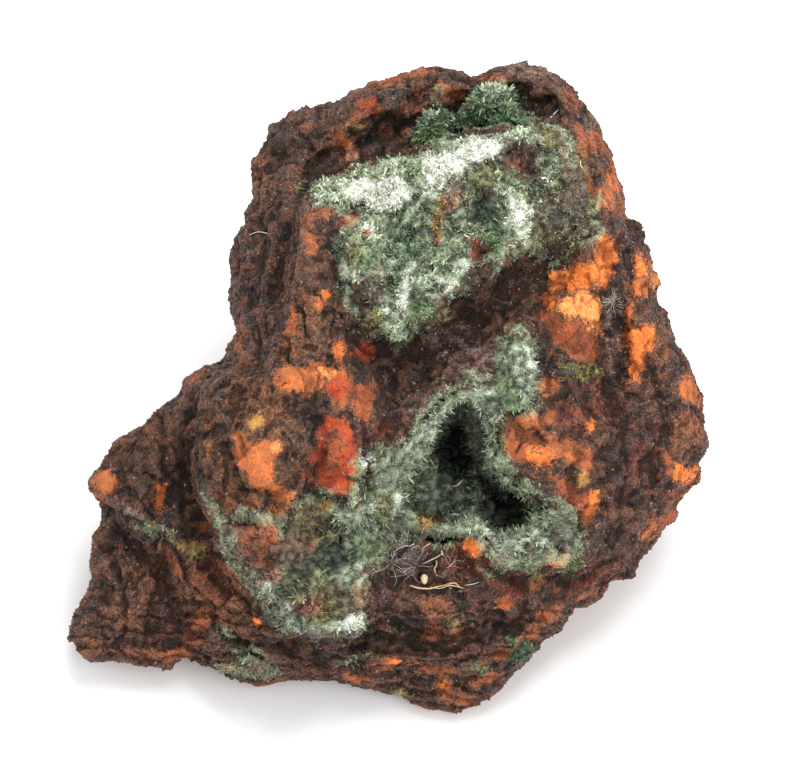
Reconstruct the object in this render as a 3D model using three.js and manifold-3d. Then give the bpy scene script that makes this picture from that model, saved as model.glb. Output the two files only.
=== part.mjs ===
// Atacamite on gossan: a hand specimen of rusty iron-oxide rock that carries green crystal crusts.
//
// Everything is laid out in the face frame, in millimetres: x to the right, y up the display face
// and z out of it. A closed rim runs round the face. In front of it the rock rises to crests and
// sinks to troughs, each given as a line of hand-placed points, and behind it the rock swells to a
// blunt, broken back. The last step leans the face back over the flat base that it rests on.
//
// The rock is one solid. Each crystal crust is a solid of its own that sits on it, as a rough sheet
// over the relief with single crystals fused to it.

import * as THREE from "three";
import { ImprovedNoise } from "three/addons/math/ImprovedNoise.js";
import { mergeVertices } from "three/addons/utils/BufferGeometryUtils.js";
import Module from "manifold-3d";

const wasm = await Module();
wasm.setup();

// ---------------------------------------------------------------- driving dimensions

const LEAN = THREE.MathUtils.degToRad(32); // the face leans this far back from level
const FACE_ORIGIN = new THREE.Vector3(1.0, -1.73, 18.5); // the face frame's origin in the part's frame
const BACK_DEPTH = 20.5; // from the rim to the blunt back
const EDGE_ROUND = 4.2; // width over which the face turns over into the rim
const SEAT_GAP = 0.32; // clearance between a crust and the rock that it sits on
const LINING = 1.1; // from the vug's wall in the rock to the open chamber

// The rim, clockwise from the notch above the left lobe.
const RIM_CENTRE = [-2, -4];
const RIM = [
  [-17.9, 2.8], [-17.0, 4.5], [-16.4, 6.0], [-17.4, 8.2], [-17.0, 11.0], [-16.9, 13.2],
  [-16.2, 15.5], [-15.4, 16.8], [-15.7, 17.7], [-14.8, 19.3], [-15.1, 22.0], [-14.7, 23.4],
  [-13.7, 24.8], [-13.0, 26.5], [-11.4, 27.0], [-9.7, 28.1], [-7.0, 29.0], [-5.0, 30.0],
  [-2.8, 30.8], [0, 31.5], [3.7, 32.5], [4.9, 32.2], [7.0, 31.2], [9.0, 32.0],
  [12.4, 32.8], [15.0, 32.1], [17.2, 30.6], [18.5, 28.8], [20.0, 27.0], [20.4, 24.9],
  [21.5, 22.7], [22.4, 19.5], [22.8, 17.5], [24.1, 16.8], [24.7, 15.0], [25.5, 12.8],
  [26.1, 10.8], [25.9, 8.8], [27.0, 7.2], [27.5, 4.7], [29.3, 1.4], [29.9, -1.0],
  [31.0, -5.7], [30.1, -7.3], [29.9, -8.7], [28.1, -11.2], [27.9, -12.7], [26.2, -14.4],
  [24.2, -16.6], [23.2, -18.4], [20.7, -19.3], [20.0, -21.0], [17.0, -22.1], [16.1, -24.1],
  [14.6, -25.0], [13.0, -27.0], [10.0, -29.5], [8.0, -31.2], [5.7, -32.5], [3.0, -31.8],
  [0, -30.7], [-3.5, -29.8], [-6.5, -29.2], [-10.0, -29.0], [-13.8, -29.7], [-17.5, -28.8],
  [-20.0, -27.8], [-21.7, -26.8], [-23.0, -27.8], [-27.0, -27.4], [-31.0, -26.9], [-32.1, -26.0],
  [-33.0, -25.0], [-32.5, -22.2], [-30.8, -19.0], [-30.9, -17.0], [-30.7, -14.8], [-29.7, -11.8],
  [-30.7, -10.8], [-30.9, -9.3], [-29.9, -6.7], [-28.7, -5.1], [-26.0, -3.6], [-24.3, -2.0],
  [-22.5, -0.9], [-21.5, 0.9], [-19.5, 2.2],
];

// Crests and troughs of the face, each a line of [x, y, height above the rim].
const FACE_LINES = [
  // top rim
  [[-13.8, 23, 2], [-10, 26.5, 3], [-5, 28.5, 4], [0, 29.8, 4], [4, 31, 4]],
  [[7, 29.8, 3], [10, 31, 5], [13, 31.2, 6], [16, 29.5, 6], [18.5, 26.5, 6], [20, 23, 7]],
  // groove behind the upper crust
  [
    [-9, 20.5, 3], [-5, 23, 2.5], [0, 24.7, 1.5], [4, 26.7, 0.5], [9, 28.2, 0.5], [14, 28, 2],
    [17, 27.4, 4],
  ],
  // plateau under the upper crust: its crest, its lower lip and the recess beneath
  [
    [-7.5, 19.8, 7], [-5, 20, 10], [0, 20.8, 12], [5, 22.8, 13], [10, 24, 13], [14.5, 24.6, 11.5],
    [17.5, 22.6, 10],
  ],
  [
    [-5.2, 15, 14], [-5.2, 10, 15], [-3.6, 7.2, 14.5], [0, 7, 14], [4, 9.3, 13.5], [8, 12, 12.5],
    [13, 16, 11.5],
  ],
  [[-2.6, 4, 10.5], [0, 3.6, 8], [4, 5.6, 7], [9, 8.4, 6.5], [14, 12, 7]],
  // brow over the vug, then the vug's floor, its right bank and its lower bank
  [
    [11.5, 4.5, 10], [9, 1.2, 11], [5.5, -0.3, 12], [2.6, -3.2, 12.5], [-0.6, -6.2, 13],
    [-2.8, -9, 13],
  ],
  [[6.5, -2.5, 6], [6, -6, 2], [4, -9, 3], [8, -10, 2], [11, -11.8, 3]],
  [[8.6, -1, 11], [9.9, -4, 12], [10.4, -7.2, 12], [13.2, -8.8, 12], [16, -10.6, 11]],
  [
    [-0.5, -15, 10.5], [3, -13.7, 9.5], [7, -13.6, 9], [10, -15.2, 9.5], [13, -15.5, 9],
    [16, -14.5, 8.5], [19, -13, 8.5],
  ],
  [[0, -18, 7.5], [4, -17.4, 6.5], [7, -18.4, 6], [10, -19, 6]],
  // nose: its long crest, its right crest and its left edge
  [
    [-6.6, 18.3, 13], [-8, 15, 14.5], [-9, 10, 16.5], [-10, 5, 18], [-12.4, -1, 19], [-13.6, -6, 19.5],
    [-13, -11, 18.5], [-10.6, -17, 16.5], [-8, -22.5, 14],
  ],
  [[-6, 1, 17], [-5.5, -5, 16.5], [-5, -10, 15.5], [-4.5, -16, 13.5], [-5.5, -22, 11.5]],
  [
    [-16, 2.8, 13], [-18, -1, 15.5], [-18.4, -6, 16.5], [-18, -11, 15.5], [-15.9, -15.5, 14.5],
    [-12.4, -20.3, 13], [-9, -23.8, 11],
  ],
  // valley between the nose and the left lobe
  [
    [-18.8, 1.6, 5], [-21, -1, 4.5], [-22, -6, 3.5], [-21.6, -11, 3], [-20, -16.2, 4],
    [-16.8, -20.4, 5.5], [-13.6, -24.4, 6], [-9, -27, 5.5],
  ],
  // left shoulder and the step between it and the nose
  [[-14, 19, 4], [-15, 13, 5.5], [-15.6, 8, 6.5]],
  [[-9.4, 18.6, 6], [-11.8, 15.5, 7], [-12.9, 11, 8], [-13.9, 7, 9.5]],
  // left lobe and its ledge, then the foot below the ledge
  [[-21.5, 0.5, 3], [-25, -3, 3.5], [-28.5, -6, 3], [-29.5, -9, 2.5]],
  [
    [-24.8, -7.5, 4.8], [-26, -12, 4.6], [-23.6, -14, 5.2], [-21.8, -17.2, 5.5],
    [-19.7, -22, 5.2], [-16, -27, 3.5],
  ],
  [[-28.5, -14.4, -0.4], [-25.2, -16.2, 0], [-23.2, -20, 0.2], [-21.6, -25, -0.4]],
  [[-31, -21, 0.6], [-30, -25, 1.2], [-26, -26, 1.2]],
  [[-26, -19.5, 2.6], [-26.6, -23, 2.4]],
  // right face: its front crest, the groove beside it and the outer band
  [
    [16, 19, 10.5], [19, 16, 10], [20, 11, 9.5], [17, 6, 10.5], [16, 1, 10], [14.5, -4, 12],
    [17.3, -8, 11], [19, -12, 9.5],
  ],
  [[21.5, 14, 6.4], [21.2, 7, 5.6], [22, 0, 6]],
  [[23.8, 11, 7], [24, 5, 7.5], [26, -1, 6.5], [28, -5, 5], [26, -11, 5], [22, -15, 5.5]],
  // ledges of the lower front
  [[3, -22, 7], [9, -22, 6], [14, -20, 6]],
  [[-3, -25.3, 3], [4, -24.8, 3.3], [10, -23.9, 3.1], [15, -21.9, 3.2]],
  [[-8, -27.8, 3.4], [-3, -27.3, 5], [3, -26.8, 5.4], [10, -25.6, 5], [16, -22.8, 4]],
  [[1, -29.4, 2], [6, -30.2, 2.2]],
];

// ---------------------------------------------------------------- small helpers

const UP = new THREE.Vector3(0, 0, 1);
const perlin = new ImprovedNoise();
const noise = (x, y, z, size) => perlin.noise(x / size + 31.7, y / size + 7.3, z / size + 13.1);
const mix = (a, b, t) => a + (b - a) * t;

// A seeded random number from 0 to 1.
function dice(seed) {
  let state = seed;
  return () => {
    state = (state * 1664525 + 1013904223) % 4294967296;
    return state / 4294967296;
  };
}

// A closed geometry with its shared vertices merged, that geometry as a solid, and the way back.
function welded(geometry) {
  const bare = geometry.clone();
  bare.deleteAttribute("normal");
  bare.deleteAttribute("uv");
  return mergeVertices(bare, 1e-4);
}

function solid(geometry) {
  const merged = welded(geometry);
  return new wasm.Manifold(
    new wasm.Mesh({
      numProp: 3,
      vertProperties: merged.attributes.position.array,
      triVerts: new Uint32Array(merged.index.array),
    }),
  );
}

function geometryOf(made) {
  const mesh = made.getMesh();
  const geometry = new THREE.BufferGeometry();
  geometry.setAttribute("position", new THREE.BufferAttribute(mesh.vertProperties, 3));
  geometry.setIndex(new THREE.BufferAttribute(mesh.triVerts, 1));
  geometry.computeVertexNormals();
  return geometry;
}

// The largest body of a solid: a cut can leave crumbs.
const mainBody = (made) => made.decompose().sort((a, b) => b.volume() - a.volume())[0];
const joined = (solids) => solids.reduce((a, b) => a.add(b));

// A chance value from about -1 to 1 that belongs to a cell of a grid.
const chance = (i, j, k, kind) => 1.6 * noise(i * 3.7 + kind * 9.3, j * 5.1, k * 4.3, 2.3);

// Broken facets: every place takes the tilted plane of the seed nearest to it, one to a cell.
const SCATTER = 0.45; // how far a seed strays from its cell's middle
const STEP = 0.14; // how far one facet stands above the next
const TILT = 0.28; // how far a facet leans
function facets(x, y, z, pitch) {
  const cell = [x, y, z].map((v) => Math.floor(v / pitch));
  let nearest = Infinity;
  let height = 0;
  for (let i = cell[0] - 1; i <= cell[0] + 1; i++) {
    for (let j = cell[1] - 1; j <= cell[1] + 1; j++) {
      for (let k = cell[2] - 1; k <= cell[2] + 1; k++) {
        const dx = x - (i + 0.5 + SCATTER * chance(i, j, k, 1)) * pitch;
        const dy = y - (j + 0.5 + SCATTER * chance(i, j, k, 2)) * pitch;
        const dz = z - (k + 0.5 + SCATTER * chance(i, j, k, 3)) * pitch;
        const distance = Math.hypot(dx, dy, dz);
        if (distance >= nearest) continue;
        nearest = distance;
        const tilt = dx * chance(i, j, k, 4) + dy * chance(i, j, k, 5) + dz * chance(i, j, k, 6);
        height = STEP * pitch * chance(i, j, k, 7) + TILT * tilt;
      }
    }
  }
  return height;
}

// ---------------------------------------------------------------- the face's relief

// The nearest point of a line of [x, y, height], as its distance and its height.
function nearestOn(line, x, y) {
  let best = { distance: Infinity, height: 0 };
  for (let i = 0; i + 1 < line.length; i++) {
    const [ax, ay, az] = line[i];
    const [bx, by, bz] = line[i + 1];
    const along = ((x - ax) * (bx - ax) + (y - ay) * (by - ay)) / ((bx - ax) ** 2 + (by - ay) ** 2);
    const t = Math.min(1, Math.max(0, along));
    const distance = Math.hypot(x - mix(ax, bx, t), y - mix(ay, by, t));
    if (distance < best.distance) best = { distance, height: mix(az, bz, t) };
  }
  return best;
}

// Height that the lines give at a point, weighted towards the nearest of them.
const CREASE = 0.45; // half the width of a crest or trough
const LOCAL = 1.8; // how strongly the nearest lines count
function lineHeight(x, y) {
  let sum = 0;
  let total = 0;
  for (const line of FACE_LINES) {
    const { distance, height } = nearestOn(line, x, y);
    const weight = 1 / (distance ** 2 + CREASE ** 2) ** LOCAL;
    sum += weight * height;
    total += weight;
  }
  return sum / total;
}

// Height of the face at a point: what the lines give, broken into large and small facets whose
// borders wander.
const LARGE_FACET = 5.6;
const SMALL_FACET = 2.7;
function relief(x, y) {
  const wx = x + 1.3 * noise(x, y, 3, 3.2);
  const wy = y + 1.3 * noise(x, y, 6, 3.2);
  return lineHeight(x, y) + facets(wx, wy, 2, LARGE_FACET) + 0.9 * facets(wx, wy, 1, SMALL_FACET);
}

// Outward direction of the relief.
function reliefNormal(x, y) {
  const step = 0.6;
  const dx = (relief(x + step, y) - relief(x - step, y)) / (2 * step);
  const dy = (relief(x, y + step) - relief(x, y - step)) / (2 * step);
  return new THREE.Vector3(-dx, -dy, 1).normalize();
}

// ---------------------------------------------------------------- the rock

// Distance from the rim's centre to the rim in a direction.
function reach(angle) {
  const [cx, cy] = RIM_CENTRE;
  const ux = Math.cos(angle);
  const uy = Math.sin(angle);
  let far = 0;
  RIM.forEach(([ax, ay], i) => {
    const [bx, by] = RIM[(i + 1) % RIM.length];
    const ex = bx - ax;
    const ey = by - ay;
    const cross = ux * ey - uy * ex;
    const t = ((ax - cx) * ey - (ay - cy) * ex) / cross;
    const s = ((ax - cx) * uy - (ay - cy) * ux) / cross;
    if (t > 0 && s >= -1e-6 && s <= 1 + 1e-6) far = Math.max(far, t);
  });
  return far;
}

// Directions of the rim's own corners, with some added where a side is long.
const SPOKE_PITCH = 2.5;
function rimAngles() {
  const [cx, cy] = RIM_CENTRE;
  const angles = [];
  RIM.forEach(([ax, ay], i) => {
    const [bx, by] = RIM[(i + 1) % RIM.length];
    const parts = Math.max(1, Math.round(Math.hypot(bx - ax, by - ay) / SPOKE_PITCH));
    for (let k = 0; k < parts; k++) {
      angles.push(Math.atan2(mix(ay, by, k / parts) - cy, mix(ax, bx, k / parts) - cx));
    }
  });
  return angles.sort((a, b) => a - b);
}

// Height of the rim itself, which wanders a little off the face's plane.
const rimHeight = (x, y) => 3.2 * noise(x, y, 40, 17);

// A point of the front, a share of the way out to the rim.
function frontPoint(angle, share) {
  const far = reach(angle);
  const x = RIM_CENTRE[0] + far * share * Math.cos(angle);
  const y = RIM_CENTRE[1] + far * share * Math.sin(angle);
  const turn = Math.min(1, (far * (1 - share)) / EDGE_ROUND);
  const rise = Math.sqrt(1 - (1 - turn) ** 2);
  return [x, y, mix(rimHeight(x, y), relief(x, y), rise)];
}

// A point of the back: a blunt bowl, dented towards the rock's middle in broken facets.
const MIDDLE = [...RIM_CENTRE, -4];
const BLUNT = 2.9; // 2 would be a round bowl
const DEEPEST_DENT = 0.3; // as a share of the way to the middle
function backPoint(angle, share) {
  const far = reach(angle);
  const swell = (1 - share ** BLUNT) ** 0.4;
  const x = RIM_CENTRE[0] + far * share * Math.cos(angle);
  const y = RIM_CENTRE[1] + far * share * Math.sin(angle);
  const z = rimHeight(x, y) * share - BACK_DEPTH * swell;
  const broken = 1.2 * facets(x, y, z, 11) + facets(x, y, z, 5);
  const dent = Math.min(DEEPEST_DENT, Math.max(0, 0.08 + 0.05 * broken)) * Math.min(1, 2 * swell);
  return [x, y, z].map((v, axis) => mix(v, MIDDLE[axis], dent));
}

// Triangles between two rings whose numbers of points differ.
function zip(inner, innerStart, outer, outerStart, faces) {
  let i = 0;
  let j = 0;
  const angleAt = (ring, k) => ring[k % ring.length].angle + (k >= ring.length ? 2 * Math.PI : 0);
  while (i < inner.length || j < outer.length) {
    const a = innerStart + (i % inner.length);
    const b = outerStart + (j % outer.length);
    const stepOuter = j < outer.length && angleAt(outer, j + 1) <= angleAt(inner, i + 1);
    if (i >= inner.length || stepOuter) {
      faces.push([a, b, outerStart + ((j + 1) % outer.length)]);
      j++;
    } else {
      faces.push([a, b, innerStart + ((i + 1) % inner.length)]);
      i++;
    }
  }
}

// The whole rock: rings of points from the face's middle out to the rim and in again behind it.
const FRONT_RINGS = 21;
const BACK_RINGS = 10;
function rockBody() {
  const corners = rimAngles();
  const rings = [];
  const addRing = (share, pointAt) => {
    const count = Math.max(6, Math.round(corners.length * share));
    const shift = (rings.length % 2) * 0.5;
    const even = Array.from({ length: count }, (_, i) => -Math.PI + ((i + shift) * 2 * Math.PI) / count);
    const angles = share === 1 ? corners : even;
    rings.push(angles.map((angle) => ({ angle, point: pointAt(angle, share) })));
  };
  for (let k = 1; k <= FRONT_RINGS; k++) addRing(k / FRONT_RINGS, frontPoint);
  for (let k = 1; k < BACK_RINGS; k++) addRing(Math.cos((k * Math.PI) / (2 * BACK_RINGS)) ** 0.7, backPoint);

  const points = rings.flatMap((ring) => ring.map((spoke) => spoke.point));
  points.push(frontPoint(0, 0), backPoint(0, 0));
  const frontMiddle = points.length - 2;
  const backMiddle = points.length - 1;

  const faces = [];
  let start = 0;
  const first = rings[0];
  first.forEach((_, i) => faces.push([frontMiddle, i, (i + 1) % first.length]));
  for (let r = 0; r + 1 < rings.length; r++) {
    zip(rings[r], start, rings[r + 1], start + rings[r].length, faces);
    start += rings[r].length;
  }
  const last = rings[rings.length - 1];
  last.forEach((_, i) => faces.push([backMiddle, start + ((i + 1) % last.length), start + i]));

  const geometry = new THREE.BufferGeometry();
  geometry.setAttribute("position", new THREE.Float32BufferAttribute(points.flat(), 3));
  geometry.setIndex(faces.flat());
  return solid(geometry);
}

// Everything beyond a plane, given by its outward normal and its distance from the face's origin.
const BEYOND = 300;
function beyond(nx, ny, nz, distance) {
  const block = new THREE.BoxGeometry(BEYOND, BEYOND, BEYOND);
  block.translate(0, 0, BEYOND / 2 + distance);
  const aim = new THREE.Quaternion().setFromUnitVectors(UP, new THREE.Vector3(nx, ny, nz).normalize());
  return solid(block.applyQuaternion(aim));
}

// A rough ellipsoid.
function lump({ centre, radii, detail, roughness, seed }) {
  const geometry = new THREE.IcosahedronGeometry(1, detail);
  const position = geometry.attributes.position;
  const v = new THREE.Vector3();
  for (let i = 0; i < position.count; i++) {
    v.fromBufferAttribute(position, i);
    const swell = 1 + roughness * noise(v.x * 10, v.y * 10, v.z * 10 + seed * 7, 8);
    position.setXYZ(
      i,
      centre[0] + v.x * radii[0] * swell,
      centre[1] + v.y * radii[1] * swell,
      centre[2] + v.z * radii[2] * swell,
    );
  }
  return solid(geometry);
}

// The vug: a main chamber with a finger up under the brow and one to the right. Its wall can be
// drawn in by an allowance for the crust that lines it.
const VUG_ROOMS = [
  { centre: [4, -10, 7], radii: [6.4, 5.3, 7.6], seed: 1 },
  { centre: [5.8, -5.4, 7], radii: [4.7, 6.1, 11], seed: 2 },
  { centre: [10.4, -12, 6.5], radii: [4.5, 3.6, 9], seed: 3 },
];
function vug(drawIn) {
  const rooms = VUG_ROOMS.map(({ centre, radii, seed }) =>
    lump({ centre, radii: radii.map((r) => r - drawIn), detail: 1, roughness: 0.22, seed }),
  );
  return joined(rooms);
}

// The rock before its vug is opened, cut level under the leaning face.
const level = beyond(0, -Math.sin(LEAN), -Math.cos(LEAN), FACE_ORIGIN.z);
const rockBlock = mainBody(rockBody().subtract(level));
const rock = mainBody(rockBlock.subtract(vug(0)));

// ---------------------------------------------------------------- crystals and crusts

// A square crystal with a pointed end, along +z. It widens from a buried root to its shoulder.
const SLENDER = 0.34; // a crystal's radius as a share of its height
function crystal(height) {
  const profile = [
    [0, -0.9 * height],
    [SLENDER * height, 0.6 * height],
    [0, height],
  ].map(([r, h]) => new THREE.Vector2(r, h));
  const geometry = new THREE.LatheGeometry(profile, 4);
  geometry.rotateX(Math.PI / 2);
  return geometry;
}

function standing(geometry, foot, direction, turn) {
  const spin = new THREE.Quaternion().setFromAxisAngle(UP, turn);
  const aim = new THREE.Quaternion().setFromUnitVectors(UP, direction);
  const placed = new THREE.Matrix4().compose(foot, aim.multiply(spin), new THREE.Vector3(1, 1, 1));
  return solid(geometry.applyMatrix4(placed));
}

function inside(outline, x, y) {
  let odd = false;
  outline.forEach(([ax, ay], i) => {
    const [bx, by] = outline[(i + 1) % outline.length];
    if (ay > y !== by > y && x < ax + ((y - ay) / (by - ay)) * (bx - ax)) odd = !odd;
  });
  return odd;
}

// A prism on an outline, from below the deepest trough to above the highest crest.
function prism(outline) {
  const shape = new THREE.Shape(outline.map(([x, y]) => new THREE.Vector2(x, y)));
  const geometry = new THREE.ExtrudeGeometry(shape, { depth: 50, bevelEnabled: false });
  geometry.translate(0, 0, -10);
  return solid(geometry);
}

// The body of a patch: a block inside the outline. Its top is the relief raised along a direction,
// with every point of it thrown about a little, as the tips of small crystals are.
const GRAIN = 1.6; // spacing of the points
function patchBody({ outline, raise, rough, seed }) {
  const random = dice(seed);
  const bounds = new THREE.Box2().setFromPoints(outline.map(([x, y]) => new THREE.Vector2(x, y)));
  const size = bounds.getSize(new THREE.Vector2()).addScalar(4 * GRAIN);
  const middle = bounds.getCenter(new THREE.Vector2());
  const cells = [Math.ceil(size.x / GRAIN), Math.ceil(size.y / GRAIN)];
  const geometry = welded(new THREE.BoxGeometry(size.x, size.y, 10, ...cells, 1));
  geometry.translate(middle.x, middle.y, 0);
  const position = geometry.attributes.position;
  for (let i = 0; i < position.count; i++) {
    if (position.getZ(i) < 0) continue;
    const x = position.getX(i) + (random() - 0.5) * 0.5 * GRAIN;
    const y = position.getY(i) + (random() - 0.5) * 0.5 * GRAIN;
    position.setXYZ(i, x + raise[0], y + raise[1], relief(x, y) + raise[2] + rough * random());
  }
  return solid(geometry).intersect(prism(outline));
}

// Random places inside an outline, on the top of the patch.
function places({ outline, raise }, count, random) {
  const xs = outline.map((p) => p[0]);
  const ys = outline.map((p) => p[1]);
  const found = [];
  while (found.length < count) {
    const x = mix(Math.min(...xs), Math.max(...xs), random());
    const y = mix(Math.min(...ys), Math.max(...ys), random());
    if (!inside(outline, x, y)) continue;
    found.push(new THREE.Vector3(x + raise[0], y + raise[1], relief(x, y) + raise[2]));
  }
  return found;
}

// Single crystals on a patch, which lean at random.
function growth(patch) {
  const random = dice(patch.seed);
  return places(patch, patch.crystals, random).map((foot) => {
    const lean = new THREE.Vector3(random() - 0.5, random() - 0.5, random() * 0.4).multiplyScalar(1.3);
    const direction = reliefNormal(foot.x, foot.y).add(lean).normalize();
    const height = patch.size * mix(0.7, 1.3, random());
    return standing(crystal(height), foot, direction, random() * Math.PI);
  });
}

// Patches joined into one crust, cut back to clear the rock.
const seat = rockBlock.add(rockBlock.translate(0, 0, SEAT_GAP));
function crust(patches) {
  const grown = patches.flatMap((patch) => [patchBody(patch), ...growth(patch)]);
  return mainBody(joined(grown).subtract(seat));
}

// Upper crust: the broad pale field on the plateau and the olive field to its right.
const UPPER_PATCHES = [
  {
    outline: [
      [-8.4, 19.8], [-6.6, 21], [-4.1, 22.5], [-1.5, 22.7], [1.5, 22.7], [3.2, 23.8], [5.3, 25.1],
      [7.9, 25.5], [12.2, 25.3], [11.4, 23.9], [10.4, 23.2], [11, 21.6], [12.4, 20.6], [13.3, 18.8],
      [13.5, 16.4], [12.4, 14.8], [11, 14.2], [10.6, 12.4], [9.6, 12.2], [9, 13.6], [8.2, 13.2],
      [6.8, 11], [5, 9], [4, 7], [1.6, 6], [0.2, 4.8], [-1.6, 5.4], [-3.4, 7], [-4.8, 9.2],
      [-5.4, 12], [-5.8, 15], [-4, 16.6], [-3.4, 17.8], [-6, 18.4], [-8, 18.8],
    ],
    raise: [0, -0.5, 1.4],
    rough: 1.4,
    crystals: 16,
    size: 1.8,
    seed: 11,
  },
  {
    outline: [
      [11.8, 25.6], [15.1, 26], [16.6, 25.1], [17.7, 22.7], [18.6, 19.8], [19.4, 18], [19, 15.9],
      [17.3, 13.3], [15.1, 12.5], [13.9, 13.3], [13.3, 15], [13.2, 19], [14.4, 20.8], [14.2, 23],
      [12.4, 24.2],
    ],
    raise: [0, 0, 0.6],
    rough: 0.9,
    crystals: 6,
    size: 1.3,
    seed: 12,
  },
];

// Rear cluster: dark blades that stand in the groove behind the plateau.
const REAR_PATCHES = [
  {
    outline: [
      [1.7, 26.2], [2.6, 26], [3.6, 26.2], [5.7, 27.1], [6.8, 26.9], [7.6, 28.4], [8.1, 29.5],
      [9.6, 30], [10.7, 29.4], [11.1, 27.8], [12.2, 26.6], [10.4, 26.4], [7.9, 26.4], [5, 26.1],
      [2.9, 24.9], [1.9, 24.8],
    ],
    raise: [0, 0, 1.5],
    rough: 2,
    crystals: 12,
    size: 2.6,
    seed: 21,
  },
];

// Crust on the banks of the vug, which spreads down the nose to the front field.
const BANK_PATCHES = [
  {
    outline: [
      [11.3, 5.4], [13, 4.4], [13.4, 1.4], [12.6, -1.6], [10.4, -2], [9.4, -3.3], [9.2, -5.9],
      [9.8, -8], [11.3, -9.6], [13.4, -10.2], [16, -11], [17.9, -13.6], [17.3, -15.7], [14.7, -16.1],
      [12.6, -17], [10.4, -17.6], [8.9, -17], [9.2, -15.3], [7.5, -14.4], [4.5, -14.2], [1.9, -14.6],
      [-0.2, -14.9], [-1.5, -16.1], [-2.4, -17.4], [-4.1, -19.1], [-4.5, -21.3], [-3.7, -23.8],
      [-6.2, -24.3], [-9.2, -24.5], [-11.8, -23], [-13.9, -20.4], [-15.6, -17.9], [-17.1, -14.9],
      [-17.5, -12.5], [-15.2, -12.9], [-11.8, -14], [-10.1, -11.9], [-8.8, -10.6], [-6.6, -10.4],
      [-4.1, -9.9], [-3.4, -7.2], [-0.2, -5.8], [2.3, -3.6], [4, -1.4], [6.6, 0.4], [9.2, 1.6],
      [10.2, 3.5],
    ],
    raise: [0, 0, 1.1],
    rough: 1.1,
    crystals: 20,
    size: 1.6,
    seed: 31,
  },
];

// Small tufts, each of one patch.
const TUFTS = {
  right_tuft: {
    outline: [[14, 2.2], [17.4, 3], [19.8, 2.6], [20.2, 1.2], [18, 0.6], [15, 0.8]],
    seed: 41,
  },
  lower_tuft: {
    outline: [[14.8, -17], [16, -16.6], [18.8, -16.4], [18.6, -17.6], [16.8, -18.4], [15, -18]],
    seed: 42,
  },
  edge_tuft: {
    outline: [[10.8, -26], [12.6, -24.6], [13.6, -25.4], [13, -26.6], [11.8, -27.6], [10.6, -27]],
    seed: 43,
  },
  ledge_tuft: {
    outline: [
      [-26, -12.6], [-23, -13], [-20.4, -15.4], [-19.4, -17], [-20.8, -17.6], [-22.8, -15.2],
      [-25.8, -13.8],
    ],
    seed: 44,
  },
  base_tuft: {
    outline: [[-18.6, -27.2], [-15, -26.2], [-11.8, -27], [-11.6, -28], [-14.8, -28.4], [-18, -28]],
    seed: 45,
  },
};
const TUFT = { raise: [0, 0, 0.5], rough: 0.8, crystals: 3, size: 1.4 };

// The lining of the vug: a wall between the rock and the open chamber, with crystals that point
// into it, up to just above the lips.
function vugLining() {
  const lips = rockBlock.translate(0, 0, 0.9);
  return vug(SEAT_GAP).intersect(lips).subtract(vug(LINING));
}

function liningCrystals() {
  const random = dice(51);
  const made = [];
  for (const { centre, radii } of VUG_ROOMS) {
    for (let k = 0; k < 3; k++) {
      const turn = random() * 2 * Math.PI;
      const rise = mix(-0.75, 0.25, random());
      const flat = Math.sqrt(1 - rise ** 2);
      const out = new THREE.Vector3(flat * Math.cos(turn), flat * Math.sin(turn), rise);
      const wall = radii.map((r) => r - LINING);
      const foot = new THREE.Vector3(
        centre[0] + out.x * wall[0],
        centre[1] + out.y * wall[1],
        centre[2] + out.z * wall[2],
      );
      const height = mix(0.9, 1.6, random());
      made.push(standing(crystal(height), foot, out.negate(), turn));
    }
  }
  return joined(made);
}

function vugCrust() {
  const lined = vugLining().add(liningCrystals().intersect(vug(SEAT_GAP)));
  return mainBody(crust(BANK_PATCHES).subtract(vug(LINING)).add(lined));
}

// ---------------------------------------------------------------- materials and assembly

const finish = (color, roughness) => new THREE.MeshStandardMaterial({ color, roughness, metalness: 0 });
const GOSSAN = finish(0x54362a, 0.92);
const PALE_GREEN = finish(0x8fa893, 0.6);
const DARK_GREEN = finish(0x3f6a4c, 0.5);
const GREY_GREEN = finish(0x6f8d76, 0.6);
const OLIVE = finish(0x7d8a52, 0.7);

const specimen = new THREE.Group();
specimen.rotation.x = LEAN;
specimen.position.copy(FACE_ORIGIN);

function addPiece(name, made, material) {
  const mesh = new THREE.Mesh(geometryOf(made), material);
  mesh.name = name;
  specimen.add(mesh);
}

addPiece("gossan_matrix", rock, GOSSAN);
const rearCluster = crust(REAR_PATCHES);
addPiece("rear_cluster", rearCluster, DARK_GREEN);
const rearRoom = rearCluster.translate(0, -SEAT_GAP, 0).add(rearCluster.translate(0, 0, SEAT_GAP));
addPiece("upper_crust", mainBody(crust(UPPER_PATCHES).subtract(rearCluster.add(rearRoom))), PALE_GREEN);
addPiece("vug_crust", vugCrust(), GREY_GREEN);
for (const [name, tuft] of Object.entries(TUFTS)) addPiece(name, crust([{ ...TUFT, ...tuft }]), OLIVE);

export default specimen;
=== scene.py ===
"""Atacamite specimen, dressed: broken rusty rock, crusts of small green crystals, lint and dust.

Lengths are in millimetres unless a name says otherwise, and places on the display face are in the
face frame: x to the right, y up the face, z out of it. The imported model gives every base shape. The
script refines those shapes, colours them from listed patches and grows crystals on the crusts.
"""

import math
from types import SimpleNamespace

import bpy
import numpy as np
from mathutils import Matrix, Vector
from mathutils.bvhtree import BVHTree


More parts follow.
